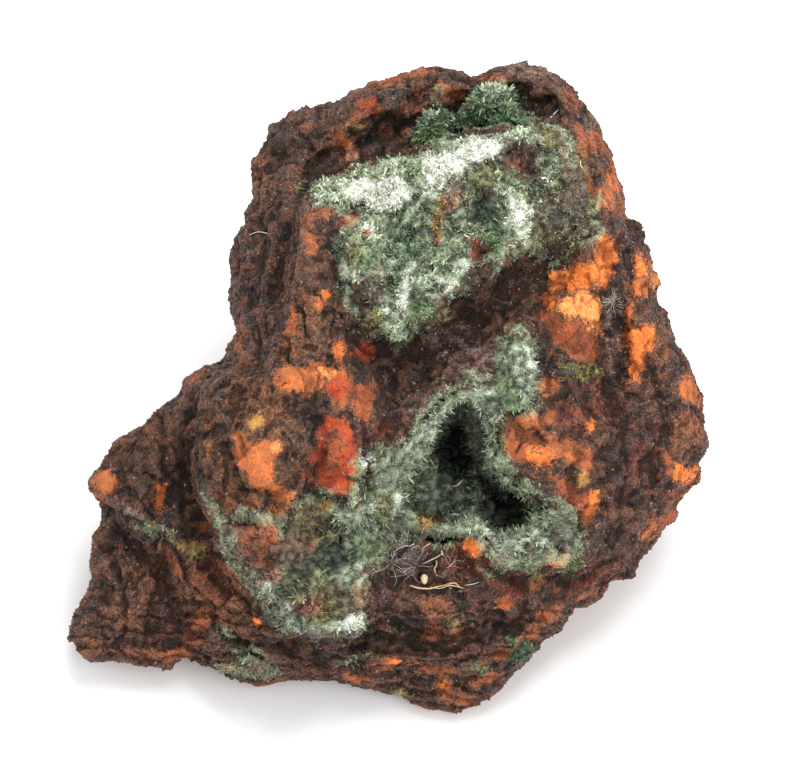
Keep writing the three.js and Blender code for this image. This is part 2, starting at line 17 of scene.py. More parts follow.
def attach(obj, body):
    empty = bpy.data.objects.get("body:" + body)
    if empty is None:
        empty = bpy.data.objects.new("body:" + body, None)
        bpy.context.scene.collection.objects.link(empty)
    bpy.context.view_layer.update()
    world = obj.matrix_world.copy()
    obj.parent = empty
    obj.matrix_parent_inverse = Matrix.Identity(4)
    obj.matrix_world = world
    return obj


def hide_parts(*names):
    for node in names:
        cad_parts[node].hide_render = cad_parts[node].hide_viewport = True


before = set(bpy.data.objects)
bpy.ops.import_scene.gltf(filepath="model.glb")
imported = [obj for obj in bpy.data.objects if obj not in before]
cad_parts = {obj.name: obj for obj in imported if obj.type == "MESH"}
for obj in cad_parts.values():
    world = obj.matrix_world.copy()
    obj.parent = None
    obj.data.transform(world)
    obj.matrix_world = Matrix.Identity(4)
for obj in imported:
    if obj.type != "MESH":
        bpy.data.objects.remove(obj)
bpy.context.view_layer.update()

# ---------------------------------------------------------------- the face frame

MM = 0.001
LEAN = math.radians(32)
FACE_ORIGIN = np.array([1.0, -1.73, 18.5])
FACE_AXES = np.array(
    [
        [1, 0, 0],
        [0, math.cos(LEAN), math.sin(LEAN)],
        [0, -math.sin(LEAN), math.cos(LEAN)],
    ]
)


def to_face(points):
    """Points of the row frame in the face frame."""
    return (points - FACE_ORIGIN) @ FACE_AXES.T


def to_row(points):
    """Points of the face frame in the row frame."""
    return np.asarray(points) @ FACE_AXES + FACE_ORIGIN


# ---------------------------------------------------------------- camera, floor and light

VIEW_WIDTH = 80.0  # what the frame's width covers at the rim
VIEW_CENTRE = (0.0, 1.0)
CAMERA_DISTANCE = 600.0
SENSOR = 36.0
NEAREST, FARTHEST = 10.0, 10000.0  # what the camera sees, from and to
FLOOR_HALF = 1500.0
PAPER = (0.93, 0.93, 0.93, 1)
LIT_MIDDLE = (0, 0, 20)
WHITE_LIGHT = (1, 1, 1, 1)


def aimed(location, towards, up):
    """A matrix that stands at location and looks along -z at towards."""
    back = (Vector(location) - Vector(towards)).normalized()
    right = Vector(up).cross(back).normalized()
    turn = Matrix((right, back.cross(right), back)).transposed()
    return Matrix.Translation(location) @ turn.to_4x4()


def add_camera():
    """The camera looks straight at the display face."""
    data = bpy.data.cameras.new("camera")
    data.sensor_width = SENSOR
    data.lens = SENSOR * CAMERA_DISTANCE / VIEW_WIDTH
    data.clip_start = NEAREST * MM
    data.clip_end = FARTHEST * MM
    camera = bpy.data.objects.new("camera", data)
    bpy.context.collection.objects.link(camera)
    eye = to_row([*VIEW_CENTRE, CAMERA_DISTANCE]) * MM
    target = to_row([*VIEW_CENTRE, 0.0]) * MM
    camera.matrix_world = aimed(eye, target, FACE_AXES[1])
    bpy.context.scene.camera = camera


def add_floor():
    """Wide white paper under the specimen."""
    mesh = bpy.data.meshes.new("floor")
    half = FLOOR_HALF * MM
    corners = [(-half, -half, 0), (half, -half, 0), (half, half, 0), (-half, half, 0)]
    mesh.from_pydata(corners, [], [(0, 1, 2, 3)])
    floor = bpy.data.objects.new("floor", mesh)
    bpy.context.collection.objects.link(floor)
    material = bpy.data.materials.new("white_paper")
    material.use_nodes = True
    shader = material.node_tree.nodes["Principled BSDF"]
    shader.inputs["Base Color"].default_value = PAPER
    shader.inputs["Roughness"].default_value = 0.9
    mesh.materials.append(material)


def add_light(name, place, watts, size):
    """A square soft light of that size, aimed at the middle of the specimen."""
    data = bpy.data.lights.new(name, "AREA")
    data.energy = watts
    data.size = size * MM
    light = bpy.data.objects.new(name, data)
    bpy.context.collection.objects.link(light)
    light.matrix_world = aimed(Vector(place) * MM, Vector(LIT_MIDDLE) * MM, (0, 0.1, 1))


def add_world(strength):
    """Even white light from all around."""
    world = bpy.data.worlds.new("studio")
    world.use_nodes = True
    background = world.node_tree.nodes["Background"]
    background.inputs["Color"].default_value = WHITE_LIGHT
    background.inputs["Strength"].default_value = strength
    bpy.context.scene.world = world


add_camera()
add_floor()
add_light("key", (90, 120, 470), 1.8, 280)
add_light("fill", (220, -300, 400), 1.0, 320)
add_world(0.97)
bpy.context.scene.view_settings.view_transform = "Standard"

# ---------------------------------------------------------------- noise

SCRAMBLE = (374761393, 668265263, 2246822519, 3266489917)  # large primes that mix a cell's numbers
FAR = 1e9  # farther than anything is, in any unit


def lattice(cells, seed):
    """An even chance value from 0 to 1 for each whole-number cell (N, 3)."""
    c = cells.astype(np.int64).astype(np.uint32)
    across, up, out, more = (np.uint32(prime) for prime in SCRAMBLE)
    h = c[:, 0] * across + c[:, 1] * up + c[:, 2] * out
    h = h + np.uint32((seed * SCRAMBLE[3]) % 2**32)
    h = (h ^ (h >> np.uint32(15))) * out
    h = (h ^ (h >> np.uint32(13))) * more
    return (h ^ (h >> np.uint32(16))).astype(np.float64) / 2**32


def smooth_noise(points, size, seed):
    """Smooth noise from -1 to 1, with features of about that size."""
    p = points / size
    base = np.floor(p)
    f = p - base
    f = f * f * f * (f * (f * 6 - 15) + 10)
    total = np.zeros(len(points))
    for corner in np.ndindex(2, 2, 2):
        weight = np.prod(np.where(corner, f, 1 - f), axis=1)
        total += weight * lattice(base + corner, seed)
    return 2 * total - 1


def layered_noise(points, size, seed):
    """Smooth noise with two layers of finer noise on it."""
    total = np.zeros(len(points))
    for k in range(3):
        total += 0.55**k * smooth_noise(points, size / 2**k, seed + k)
    return total / 1.4


def cells_about(p, seed):
    """The 27 cells about each point, one after the other, each with three chance values of its own."""
    base = np.floor(p)
    for step in np.ndindex(3, 3, 3):
        cell = base + np.array(step) - 1
        yield cell, np.stack([lattice(cell, seed + k) for k in range(3)], axis=1)


def grains(points, size, seed):
    """Rounded grains: how far a point is inside its grain, 0 to 1, and the grain's chance value."""
    p = points / size
    near = np.full(len(points), FAR)
    second = np.full(len(points), FAR)
    value = np.zeros(len(points))
    for cell, chance in cells_about(p, seed):
        distance = np.linalg.norm(cell + 0.15 + 0.7 * chance - p, axis=1)
        closer = distance < near
        second = np.where(closer, near, np.minimum(second, distance))
        value = np.where(closer, chance[:, 0], value)
        near = np.where(closer, distance, near)
    return np.clip(second - near, 0, 1), value


def chips(points, size, seed):
    """Broken facets of that size, each flat and tilted its own way: heights from about -0.5 to 0.5."""
    p = points / size
    near = np.full(len(points), FAR)
    height = np.zeros(len(points))
    for cell, chance in cells_about(p, seed):
        offset = p - cell - chance
        distance = np.linalg.norm(offset, axis=1)
        closer = distance < near
        tilt = np.stack([lattice(cell, seed + 3 + k) for k in range(3)], axis=1) - 0.5
        height = np.where(closer, 1.3 * (offset * tilt).sum(axis=1) + 0.5 * (chance[:, 0] - 0.5), height)
        near = np.where(closer, distance, near)
    return height


def ramp(value, low, high):
    """0 below low, 1 above high, smooth between."""
    t = np.clip((value - low) / (high - low), 0, 1)
    return t * t * (3 - 2 * t)


# ---------------------------------------------------------------- meshes


def unit(vectors):
    """The same directions, each with a length of one."""
    return vectors / np.linalg.norm(vectors, axis=1, keepdims=True)


def mixed(first, second, share):
    """Two values mixed: the first where the share is 0, the second where it is 1."""
    return first * (1 - share) + second * share


def above_floor(points):
    """The points, with those under the floor raised to it."""
    return np.column_stack([points[:, :2], np.maximum(points[:, 2], 0)])


def mesh_arrays(mesh):
    """A mesh's points in millimetres and its triangles."""
    points = np.empty(len(mesh.vertices) * 3)
    mesh.vertices.foreach_get("co", points)
    mesh.calc_loop_triangles()
    triangles = np.empty(len(mesh.loop_triangles) * 3, dtype=np.int32)
    mesh.loop_triangles.foreach_get("vertices", triangles)
    return points.reshape(-1, 3) / MM, triangles.reshape(-1, 3)


def point_normals(points, triangles):
    """Each point's normal, from the triangles about it."""
    a, b, c = (points[triangles[:, k]] for k in range(3))
    face = np.cross(b - a, c - a)
    normals = np.zeros_like(points)
    for k in range(3):
        np.add.at(normals, triangles[:, k], face)
    return normals / np.maximum(np.linalg.norm(normals, axis=1, keepdims=True), 1e-12)


def evened(values, triangles, rounds):
    """Values of the points, each round averaged with those of their neighbours."""
    edges = np.concatenate([triangles[:, [0, 1]], triangles[:, [1, 2]], triangles[:, [2, 0]]])
    count = np.bincount(edges.ravel(), minlength=len(values)).astype(float)
    flat = values.reshape(len(values), -1)
    for _ in range(rounds):
        total = np.zeros_like(flat)
        np.add.at(total, edges[:, 0], flat[edges[:, 1]])
        np.add.at(total, edges[:, 1], flat[edges[:, 0]])
        flat = 0.5 * flat + 0.5 * total / count[:, None]
    return flat.reshape(values.shape)


def broad_normals(points, triangles, rounds):
    """The points' normals, evened over their neighbourhood."""
    return unit(evened(point_normals(points, triangles), triangles, rounds))


def carrier_of(mesh):
    """An object that carries a mesh of its own while modifiers work on it."""
    carrier = bpy.data.objects.new("carrier", mesh)
    bpy.context.collection.objects.link(carrier)
    return carrier


def worked(carrier):
    """A carrier as its modifiers leave it."""
    return carrier.evaluated_get(bpy.context.evaluated_depsgraph_get())


def arrays_of(carrier):
    """The points and triangles of a carrier as its modifiers leave it. The carrier is removed."""
    made = bpy.data.meshes.new_from_object(worked(carrier))
    arrays = mesh_arrays(made)
    own = carrier.data
    bpy.data.objects.remove(carrier)
    bpy.data.meshes.remove(own)
    bpy.data.meshes.remove(made)
    return arrays


def fine_mesh(node, voxel):
    """A CAD node's shape in an even mesh of small triangles."""
    carrier = carrier_of(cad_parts[node].data.copy())
    remesh = carrier.modifiers.new("remesh", "REMESH")
    remesh.mode = "VOXEL"
    remesh.voxel_size = voxel * MM
    carrier.modifiers.new("triangulate", "TRIANGULATE")
    return arrays_of(carrier)


def add_piece(name, points, triangles, material, replaces=(), attributes=None, rounded=None):
    """One piece of the visual model. Its first faces, up to the number rounded, are shaded smooth."""
    mesh = bpy.data.meshes.new(name)
    mesh.vertices.add(len(points))
    mesh.vertices.foreach_set("co", (points * MM).ravel())
    mesh.loops.add(len(triangles) * 3)
    mesh.loops.foreach_set("vertex_index", triangles.ravel())
    mesh.polygons.add(len(triangles))
    mesh.polygons.foreach_set("loop_start", np.arange(len(triangles)) * 3)
    mesh.update(calc_edges=True)
    smooth = np.arange(len(triangles)) < (len(triangles) if rounded is None else rounded)
    mesh.polygons.foreach_set("use_smooth", smooth)
    for key, values in (attributes or {}).items():
        kind, field = ("FLOAT_COLOR", "color") if values.ndim == 2 else ("FLOAT", "value")
        layer = mesh.attributes.new(key, kind, "POINT")
        layer.data.foreach_set(field, values.astype(np.float32).ravel())
    mesh.materials.append(material)
    piece = bpy.data.objects.new(name, mesh)
    bpy.context.collection.objects.link(piece)
    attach(piece, "root")
    if replaces:
        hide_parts(*replaces)


# ---------------------------------------------------------------- colours


def rgb(red, green, blue):
    """A colour given in display values from 0 to 255, as the linear values that shaders take."""
    shown = np.array([red, green, blue]) / 255
    return np.where(shown <= 0.04045, shown / 12.92, ((shown + 0.055) / 1.055) ** 2.4)


COAL = rgb(40, 33, 30)
CHOCOLATE = rgb(70, 49, 40)
BROWN = rgb(106, 70, 48)
GREY_BROWN = rgb(112, 94, 84)
PURPLE = rgb(100, 78, 74)
MAROON = rgb(96, 44, 38)
DARK_RED = rgb(122, 56, 36)
RED = rgb(178, 66, 32)
RED_BROWN = rgb(146, 76, 46)
RUST = rgb(150, 82, 48)
UMBER = rgb(124, 76, 54)
CLAY = rgb(182, 102, 56)
ORANGE = rgb(228, 122, 54)
APRICOT = rgb(246, 152, 84)
SALMON = rgb(186, 128, 102)
# the colour of the painted glints on the bare rock
PAINTED_GLINT = rgb(186, 166, 150)
OCHRE = rgb(168, 126, 66)
WHITE = rgb(232, 236, 218)
PALE_MINT = rgb(208, 216, 192)
MINT = rgb(172, 184, 156)
GREY_GREEN = rgb(134, 146, 118)
LEAF = rgb(106, 128, 84)
BOTTLE = rgb(74, 98, 70)
DEEP_GREEN = rgb(54, 68, 52)
OLIVE = rgb(124, 118, 76)
YELLOW_GREEN = rgb(130, 126, 76)
FELT = rgb(116, 106, 102)
# near black, painted as shade into the two deep holes of the vug
PAINTED_HOLE_SHADE = rgb(16, 18, 15)
DEEP_SHADE = (0.45, 0.5, 0.45)  # what darkens a crystal in its cloudy parts
GLASSY = 0.4  # the crystals' roughness

# Stains on the display face, and near-black ovals that paint shade into its grooves, dents and the valley
# left of the nose. An oval has its place, half width, half height, turn in degrees, colour and cover
# (1 = solid, 0.5 = speckled). An area has its outline, colour and cover. Where two overlap, the later one
# lies on top.
ROCK_STAINS_AND_SHADE = [
    # the broad tones first
    (-9.4, 9, 3, 7, 12, BROWN, 0.6), (-8.6, 12, 2.4, 4, 8, CHOCOLATE, 0.55),
    (-14, -2, 3.4, 5, 0, BROWN, 0.72), (5.5, 4.6, 10, 5, 0, CHOCOLATE, 0.7),
    # painted shade: the COAL ovals from here to the right face darken the valley left of the nose, the groove
    # behind the rim and other grooves and dents
    (7.6, 2.4, 2.4, 2.6, 0, PURPLE, 0.85), (-20.6, -8, 1.5, 8, 0, COAL, 0.9),
    (21.2, 5.5, 1, 7, 2, GREY_BROWN, 0.6), (0.5, 26.4, 4.5, 1.6, 8, COAL, 0.85),
    (14.5, 28.2, 2.6, 1.6, -15, COAL, 0.75), (-12.4, 24.2, 2.4, 1.6, 0, COAL, 0.7),
    (-9, -26, 4, 1.4, -8, COAL, 0.8), (-0.5, -25.6, 4.2, 1, 5, COAL, 0.75),
    (9.2, -23.6, 1.4, 1.4, 0, COAL, 0.8), (-26, -4.5, 5, 4, 25, CHOCOLATE, 0.8),
    (-24.6, -7.6, 3.4, 3, 0, COAL, 0.6), (18, -2, 4.6, 3.4, 0, MAROON, 0.66),
    (20.6, -8, 2.6, 6, 6, CHOCOLATE, 0.85), (21.4, -7, 2.2, 4.6, 0, COAL, 0.55),
    (17.4, -0.6, 3, 1.4, 0, COAL, 0.55), (24.6, -7, 3, 5, 0, MAROON, 0.5),
    (19, -18.6, 5, 2.4, 15, MAROON, 0.6), (11, -19.4, 2.6, 1.8, 0, MAROON, 0.65),
    (-18, -19.4, 4, 5, 10, UMBER, 0.7), (-17.4, -21.4, 1.8, 2.4, 0, CLAY, 0.5),
    # the right face
    ([(13.3, 8), (14.5, 8.2), (15.6, 7.5), (16, 6.8), (18, 6.8), (19.8, 5.2), (20, 2.8), (19, 2.6),
      (17.5, 3.2), (16.2, 3.6), (15.2, 4.5), (14.8, 6), (13.8, 6.5)], RED_BROWN, 1),
    ([(14.6, 11.6), (15.6, 12.2), (16.6, 11.8), (17.8, 12.8), (19, 12.8), (19.6, 15), (20.4, 15.4),
      (21.2, 14.6), (21.3, 12.8), (21, 10.8), (20.4, 10), (19.8, 10.2), (19, 10.6), (18, 10), (16.6, 9.6),
      (15.6, 10.2), (14.8, 10.4)], ORANGE, 0.9),
    ([(15.6, 8.5), (16.2, 9.2), (17.5, 9.8), (19, 9.4), (19.8, 9), (19.9, 5.5), (19.2, 6), (18.5, 6.5),
      (17.8, 7.2), (16.8, 7), (15.8, 7.4)], APRICOT, 1),
    ([(13.7, 9.2), (14.5, 9.8), (15.6, 9), (15.4, 8.2), (14.4, 8.2)], ORANGE, 1),
    ([(25.1, 12.8), (25.7, 13), (26.1, 11.8), (25.9, 10.2), (25.4, 10), (25, 11.2)], APRICOT, 1),
    (23.8, 12.4, 0.8, 1.2, 10, ORANGE, 0.8), (23.8, 10.2, 1.2, 1.4, 0, CLAY, 0.7),
    ([(22.4, 8), (23.1, 8.4), (23.1, 6.5), (23.4, 6.2), (24.5, 6.6), (25.2, 6), (25.2, 4.8), (24.5, 3.8),
      (24, 3.5), (23.7, 1.2), (23.2, 1.2), (22.6, 3), (22.4, 4.5), (22.6, 6)], ORANGE, 1),
    (26, 5, 1, 3, 8, BROWN, 0.7),
    ([(27.6, 0.6), (28.6, 1.8), (29.3, 1), (29.7, -0.2), (29.9, -1.8), (29, -1.4), (28, -0.8)], CLAY, 1),
    ([(27, -2.2), (28.5, -1.8), (29.8, -2.2), (30.2, -3.5), (30.6, -5), (29.6, -5), (28.2, -5.2),
      (26.8, -4.8), (27.2, -3.5)], UMBER, 0.82),
    ([(27.2, -7), (28.2, -7.4), (29.2, -7.8), (29.8, -7.6), (29.4, -8.6), (28.4, -9.4), (27.6, -9.2),
      (27.2, -8.2)], ORANGE, 0.95),
    (28, -5.8, 2, 1, 0, BROWN, 0.6), (26.4, -7, 0.7, 1.8, 15, RUST, 0.8),
    (28.2, -10.8, 1.4, 1.2, 30, RED_BROWN, 0.8),
    ([(25.5, -13), (27.2, -11.8), (28, -12.2), (27.8, -13.5), (26.5, -14), (25.5, -14.2)], RED_BROWN, 0.9),
    ([(24, -14), (25, -13.2), (25.6, -13.8), (24.8, -14.8), (24, -14.8)], CLAY, 0.95),
    (19.4, 25, 2.2, 1.1, -28, RED_BROWN, 0.95), (18, 23.8, 0.8, 1.4, 20, RUST, 0.7),
    (21.2, 21, 1, 3.4, -18, CLAY, 0.72), (19, 19.8, 0.7, 2.4, 28, RUST, 0.8),
    (22.6, 19, 0.8, 2.2, -14, RED_BROWN, 0.75), (17.4, 29, 1.6, 1.8, -35, UMBER, 0.75),
    (19.3, 27.2, 0.8, 2, -30, GREY_BROWN, 0.8),
    # the block beside the vug
    ([(10.5, -3.5), (11.2, -2), (13, -1.6), (14, -2.2), (14.5, -3.4), (15.5, -4.2), (17.5, -5),
      (19.2, -5.8), (19, -8), (17.8, -8.8), (16.8, -7.8), (15.6, -7.5), (14, -7), (12.8, -7.6),
      (11.5, -7.2), (10.3, -6.5), (9.8, -5)], RUST, 0.8),
    ([(12.5, -6.2), (14, -5.4), (15, -5.4), (15.4, -6.2), (17.2, -5.8), (17, -6.6), (15.6, -6.8),
      (14.5, -7.4), (13, -7.6), (12.4, -7)], ORANGE, 0.8),
    (13.6, -4.4, 1.6, 0.5, -20, CHOCOLATE, 0.7), (16.2, -7.6, 1.4, 0.5, -30, CHOCOLATE, 0.6),
    (12.6, -3.2, 1.2, 1, 0, CLAY, 0.8), (14.7, -2.6, 0.6, 0.8, 0, CLAY, 0.9),
    (18.7, -3.5, 0.6, 0.5, 0, ORANGE, 1),
    ([(14.8, -8), (16, -8.2), (17.2, -9), (19, -10.5), (19.6, -10), (19.4, -13), (18.4, -13.2),
      (17.2, -11.8), (16, -10.2), (15, -9.4)], RED_BROWN, 0.9),
    (18, -8.6, 1.2, 1.6, 12, OCHRE, 0.62), ([(19, -10), (19.7, -10), (19, -13), (18.3, -13)], ORANGE, 1),
    (14.6, 0.4, 2, 1, 0, RUST, 0.72),
    # the nose
    (-14, -1.6, 4.4, 3.6, 0, BROWN, 0.66), (-15.4, -8, 3, 4.4, 0, BROWN, 0.66),
    ([(-16.4, -4.2), (-15.4, -3.8), (-14.8, -5), (-13.8, -4.8), (-13.2, -4.4), (-12.2, -4.4), (-11.5, -5),
      (-11.6, -6.2), (-12, -6.8), (-12.3, -7.6), (-12.2, -9), (-11.4, -9.6), (-10.4, -9.6), (-10.4, -10.2),
      (-11, -11.2), (-11.6, -12.6), (-12.2, -12), (-12.4, -11), (-12.8, -10.2), (-13.8, -9.8), (-14.8, -9),
      (-15.2, -8), (-16, -7.2), (-16.4, -6)], CLAY, 1),
    (-12, -5.4, 0.7, 0.8, 0, APRICOT, 0.8), (-13.8, -3.1, 0.8, 0.7, 0, OCHRE, 0.95),
    (-10.6, -7.2, 1.3, 2.2, 0, CHOCOLATE, 1), (-9.2, -8.2, 0.4, 1.6, 25, RED_BROWN, 0.9),
    # painted shade: thin COAL lines in two grooves across the nose
    (-8.7, -7.6, 0.4, 2, 20, COAL, 0.9), (-16.6, -10.6, 1.6, 1.4, 0, UMBER, 0.8),
    (-14.6, -11, 1, 1, 0, RUST, 0.7), (-12.8, -13.6, 1.4, 2, 0, RED_BROWN, 0.8),
    (-13.6, -9.9, 0.9, 0.3, -25, COAL, 1),
    ([(-12, 1.8), (-11, 2.5), (-10, 2.2), (-8.5, 2.8), (-7.5, 3), (-7.2, 2.2), (-5.5, 2), (-5, 1.2),
      (-6.2, 1), (-7.2, 1.2), (-7.8, 0.5), (-8.8, -0.2), (-10, -0.5), (-11.2, -0.2), (-12, 0.5)],
      CLAY, 0.95),
    (-7, 1.9, 1.4, 0.5, -5, APRICOT, 0.9),
    ([(-7.5, 1), (-5.5, 1.4), (-4.2, 0.6), (-2.8, 1), (-2.5, -0.2), (-2.8, -2), (-3, -3.2), (-3.8, -3),
      (-4.4, -1.8), (-5, -0.8), (-5.5, -1.8), (-6.2, -1.8), (-7, -0.5)], RED_BROWN, 1),
    (-6, 0.2, 1, 1.2, 0, RED, 0.9),
    ([(-8.2, -3.5), (-7, -2.5), (-5.5, -2.8), (-4.8, -4), (-4.2, -5), (-4.3, -6.2), (-3.9, -7.6),
      (-4.2, -8.6), (-5, -10), (-6.5, -10.1), (-7.8, -9.8), (-8.2, -8.8), (-7.8, -7.5), (-8.5, -6.2),
      (-8, -5)], RED, 1),
    (-6.6, -5.8, 1.2, 2.6, 0, RED_BROWN, 0.7), (-4.3, -8.2, 0.4, 0.8, 0, ORANGE, 0.95),
    (-8.4, -2.2, 1.2, 1.6, 0, COAL, 0.8),
    ([(-9.4, 17.5), (-8.4, 18.4), (-7, 18.2), (-7.2, 16.8), (-8.2, 16.2), (-8.6, 14.5), (-8.8, 13.2),
      (-9.6, 14), (-10, 15.2)], UMBER, 0.95),
    (-8.6, 14.2, 0.9, 1.3, 20, RUST, 0.7), (-4.9, 16.4, 1.1, 0.9, 0, RED_BROWN, 0.9),
    (-5.4, 18.1, 1.8, 0.5, -5, GREY_BROWN, 0.85), (-6.3, 11.6, 0.9, 1.6, 0, COAL, 0.9),
    (-10.4, 6.4, 0.8, 2.2, 0, RUST, 0.75), (-7.8, 8.2, 0.5, 0.9, -15, CLAY, 0.9),
    (-7.1, 9.4, 0.5, 0.45, 0, ORANGE, 1), (-10.8, 4, 1.4, 1.4, 30, BROWN, 0.9),
    (-6, 3.9, 0.8, 0.9, 20, ORANGE, 0.9), (-3.5, 3.7, 1.1, 0.8, 10, RED, 0.9),
    (-16, 5, 0.7, 1.4, 0, RUST, 0.85), (-15.6, 2.8, 1.4, 1, 40, BROWN, 0.8),
    (-18.9, -4.4, 0.6, 5.6, 0, BROWN, 0.9), (-18.2, -12.4, 1.2, 1.6, 30, BROWN, 0.75),
    (-1.6, -3.6, 1, 0.8, 0, DARK_RED, 0.75),
    # the left lobe and its ledge
    (-29.4, -9, 1.3, 1.1, -40, CLAY, 1), (-30.4, -10.8, 0.7, 0.9, 0, RUST, 0.8),
    (-24, -10.4, 0.5, 1.3, 0, ORANGE, 1), (-19.8, -13.6, 0.8, 0.6, 0, RUST, 0.85),
    (-24, 2, 5, 0.8, 32, BROWN, 0.8), (-20.4, 1.6, 1.4, 0.8, 30, RUST, 0.6),
    (-30.8, -6, 0.8, 2.4, -20, BROWN, 0.85), (-26, -12.4, 3, 0.4, -25, GREY_BROWN, 0.9),
    (-22.6, -17.4, 0.6, 2, 30, RUST, 0.75), (-20.6, -15.4, 1.6, 0.7, 0, OCHRE, 0.75),
    (-18.6, -20, 1.4, 1.6, 0, UMBER, 0.72), (-19.8, -23, 1.2, 1.3, 0, RUST, 0.7),
    (-16.6, -19.4, 1.2, 0.8, 0, RUST, 0.6), (-14.3, -23.1, 0.4, 0.5, 0, ORANGE, 1),
    (-20.8, -24.8, 1.3, 0.8, -30, RUST, 0.75), (-26, -26.3, 2.8, 0.7, -10, UMBER, 0.75),
    (-22.4, -26.4, 1.8, 0.7, 0, RUST, 0.75), (-28, -22.6, 3.4, 2, 10, BROWN, 0.62),
    (-28, -23.2, 1.6, 0.7, 10, RUST, 0.5), (-30.8, -25.4, 1.4, 1.2, -30, BROWN, 0.85),
    (-25, -18, 2.4, 4, 10, BROWN, 0.66), (-15.4, -27.2, 3, 0.5, -8, SALMON, 0.9),
    (-12.4, -29.4, 1.2, 0.4, 0, CLAY, 0.8),
    # the broken ledges at the front
    ([(-5.4, -20.6), (-4.6, -18.6), (-3.2, -17.8), (-3.4, -19.6), (-4.2, -21.6)], RUST, 1),
    (7, -15.8, 3.4, 2.6, 0, DARK_RED, 0.85),
    ([(6, -15), (7.2, -14.4), (8.2, -15), (8.2, -16.4), (7.2, -16.6), (6.4, -16)], ORANGE, 1),
    ([(14.4, -15.8), (15.6, -16.4), (17, -16.4), (16.4, -17.4), (15.4, -17.6), (14.6, -16.8)], ORANGE, 1),
    (13.6, -19.2, 0.8, 1, 0, RUST, 0.75), (10.2, -20.9, 1, 0.8, -20, RUST, 0.85),
    (3.6, -21.6, 2, 1.4, 0, UMBER, 0.8), (5.7, -24.2, 0.4, 0.9, 0, RUST, 0.9),
    (3.4, -24, 1, 1.2, 0, RED_BROWN, 0.75), (-0.9, -27, 1.5, 0.8, 20, RUST, 0.75),
    (-0.6, -27, 0.7, 0.5, 20, ORANGE, 0.8), (-4.6, -28.8, 2.2, 0.6, -8, RUST, 0.7),
    (3.4, -27.6, 2.6, 0.6, -12, RUST, 0.65), (4.4, -29.6, 1, 1.4, 25, RUST, 0.75),
    (4.2, -29.2, 0.5, 0.7, 25, ORANGE, 0.7), (8.2, -28.9, 1.9, 0.6, 15, RUST, 0.8),
    (6.2, -31, 1.4, 0.6, 20, RUST, 0.8), (9.6, -26.4, 1.6, 0.6, 12, RED_BROWN, 0.75),
    (12.6, -24.6, 1.6, 0.8, 30, RUST, 0.6), (14.6, -22.4, 1.8, 1, 30, RUST, 0.72),
    (18.6, -20.6, 1.6, 0.7, 25, RUST, 0.6),
    # the top rim
    ([(-3.6, 31), (0, 32), (3, 32.6), (4, 31.6), (1.4, 30.6), (-1.4, 30.2), (-3.6, 29.8), (-6, 29)],
      UMBER, 0.9),
    (-0.6, 30.9, 1.8, 0.5, 15, RUST, 0.75),
    ([(3, 29.4), (4, 31), (4.8, 30.6), (6, 30), (7, 29.2), (5, 29), (4, 28.8)], RUST, 0.9),
    (9, 31, 1.8, 0.8, 5, UMBER, 0.9), (-3.2, 28, 1.2, 1.2, 20, DARK_RED, 0.8),
    (-4.4, 26.6, 1.6, 0.8, 0, UMBER, 0.8), (-5.6, 24.6, 1.4, 0.7, -20, RUST, 0.7),
    (-4.8, 23.8, 0.8, 0.9, 0, SALMON, 0.7), (1.6, 27.8, 2, 1, 20, UMBER, 0.7),
    (-1.2, 25.8, 0.7, 0.7, 0, UMBER, 0.9), (0.6, 25.6, 0.8, 0.6, 0, SALMON, 0.62),
    (-13.8, 22, 1.2, 3, -5, UMBER, 0.6), (13, 32, 3, 1, -10, GREY_BROWN, 0.85),
    (5.6, 33, 3, 0.7, 0, BROWN, 0.8),
]

# Dull green dust on the rock, in the same form.
ROCK_DUST = [
    (16.4, 19, 3, 6.6, -15, OLIVE, 0.62), (16, 24, 2, 2, 0, YELLOW_GREEN, 0.5),
    (14, 11, 2.2, 1.4, 0, OLIVE, 0.5), (17.6, 1.8, 2.8, 1, -5, YELLOW_GREEN, 0.75),
    (16.6, -17, 2, 0.8, -5, LEAF, 0.7), (13.4, -18.6, 1.1, 1.1, 0, YELLOW_GREEN, 0.6),
    (11.1, -24.8, 0.8, 0.7, 0, LEAF, 0.85), (5.2, -23, 1.2, 1.4, 0, YELLOW_GREEN, 0.6),
    (0.3, -30.2, 1, 0.6, 0, YELLOW_GREEN, 0.8), (8, -27.4, 1.6, 0.6, 0, LEAF, 0.6),
    (12.2, -26, 1.6, 1.4, 30, BOTTLE, 0.8), (-0.4, -24, 2.4, 0.8, 10, OLIVE, 0.5),
    (-4.6, -26.8, 3.4, 0.7, 12, GREY_GREEN, 0.55), (-15, -26.2, 3, 1.1, -20, GREY_GREEN, 0.62),
    (-14.6, -28, 3.6, 0.8, -4, GREY_GREEN, 0.75), (-24.6, -14, 3, 1, -30, GREY_GREEN, 0.6),
    (-20.4, -16, 1.8, 1.4, -30, YELLOW_GREEN, 0.6), (-18.4, -11.4, 1, 2.6, 28, GREY_GREEN, 0.6),
    (-16.6, -15.6, 1.2, 2.6, 40, MINT, 0.6), (-16.4, -20.4, 2, 3.6, 30, OLIVE, 0.45),
    (-17.4, -24, 1.8, 1, -30, GREY_GREEN, 0.6), (-31.4, -22.4, 0.8, 2.4, -15, OLIVE, 0.45),
    (-4.6, 26, 1.4, 0.6, 0, YELLOW_GREEN, 0.62), (-9.8, 20.4, 0.5, 1.2, -20, OLIVE, 0.7),
    (4.4, 24.8, 3, 1, 8, BOTTLE, 0.66), (-3, 5.6, 1.6, 1.6, 0, OLIVE, 0.5),
    (12.5, 0.5, 1.8, 5, 0, GREY_GREEN, 0.66), (0.4, -16.8, 2.6, 1.8, 25, FELT, 0.66),
    (5.4, 4.6, 5, 3, 10, FELT, 0.5), (4, -16.4, 3, 1, 0, FELT, 0.5),
]

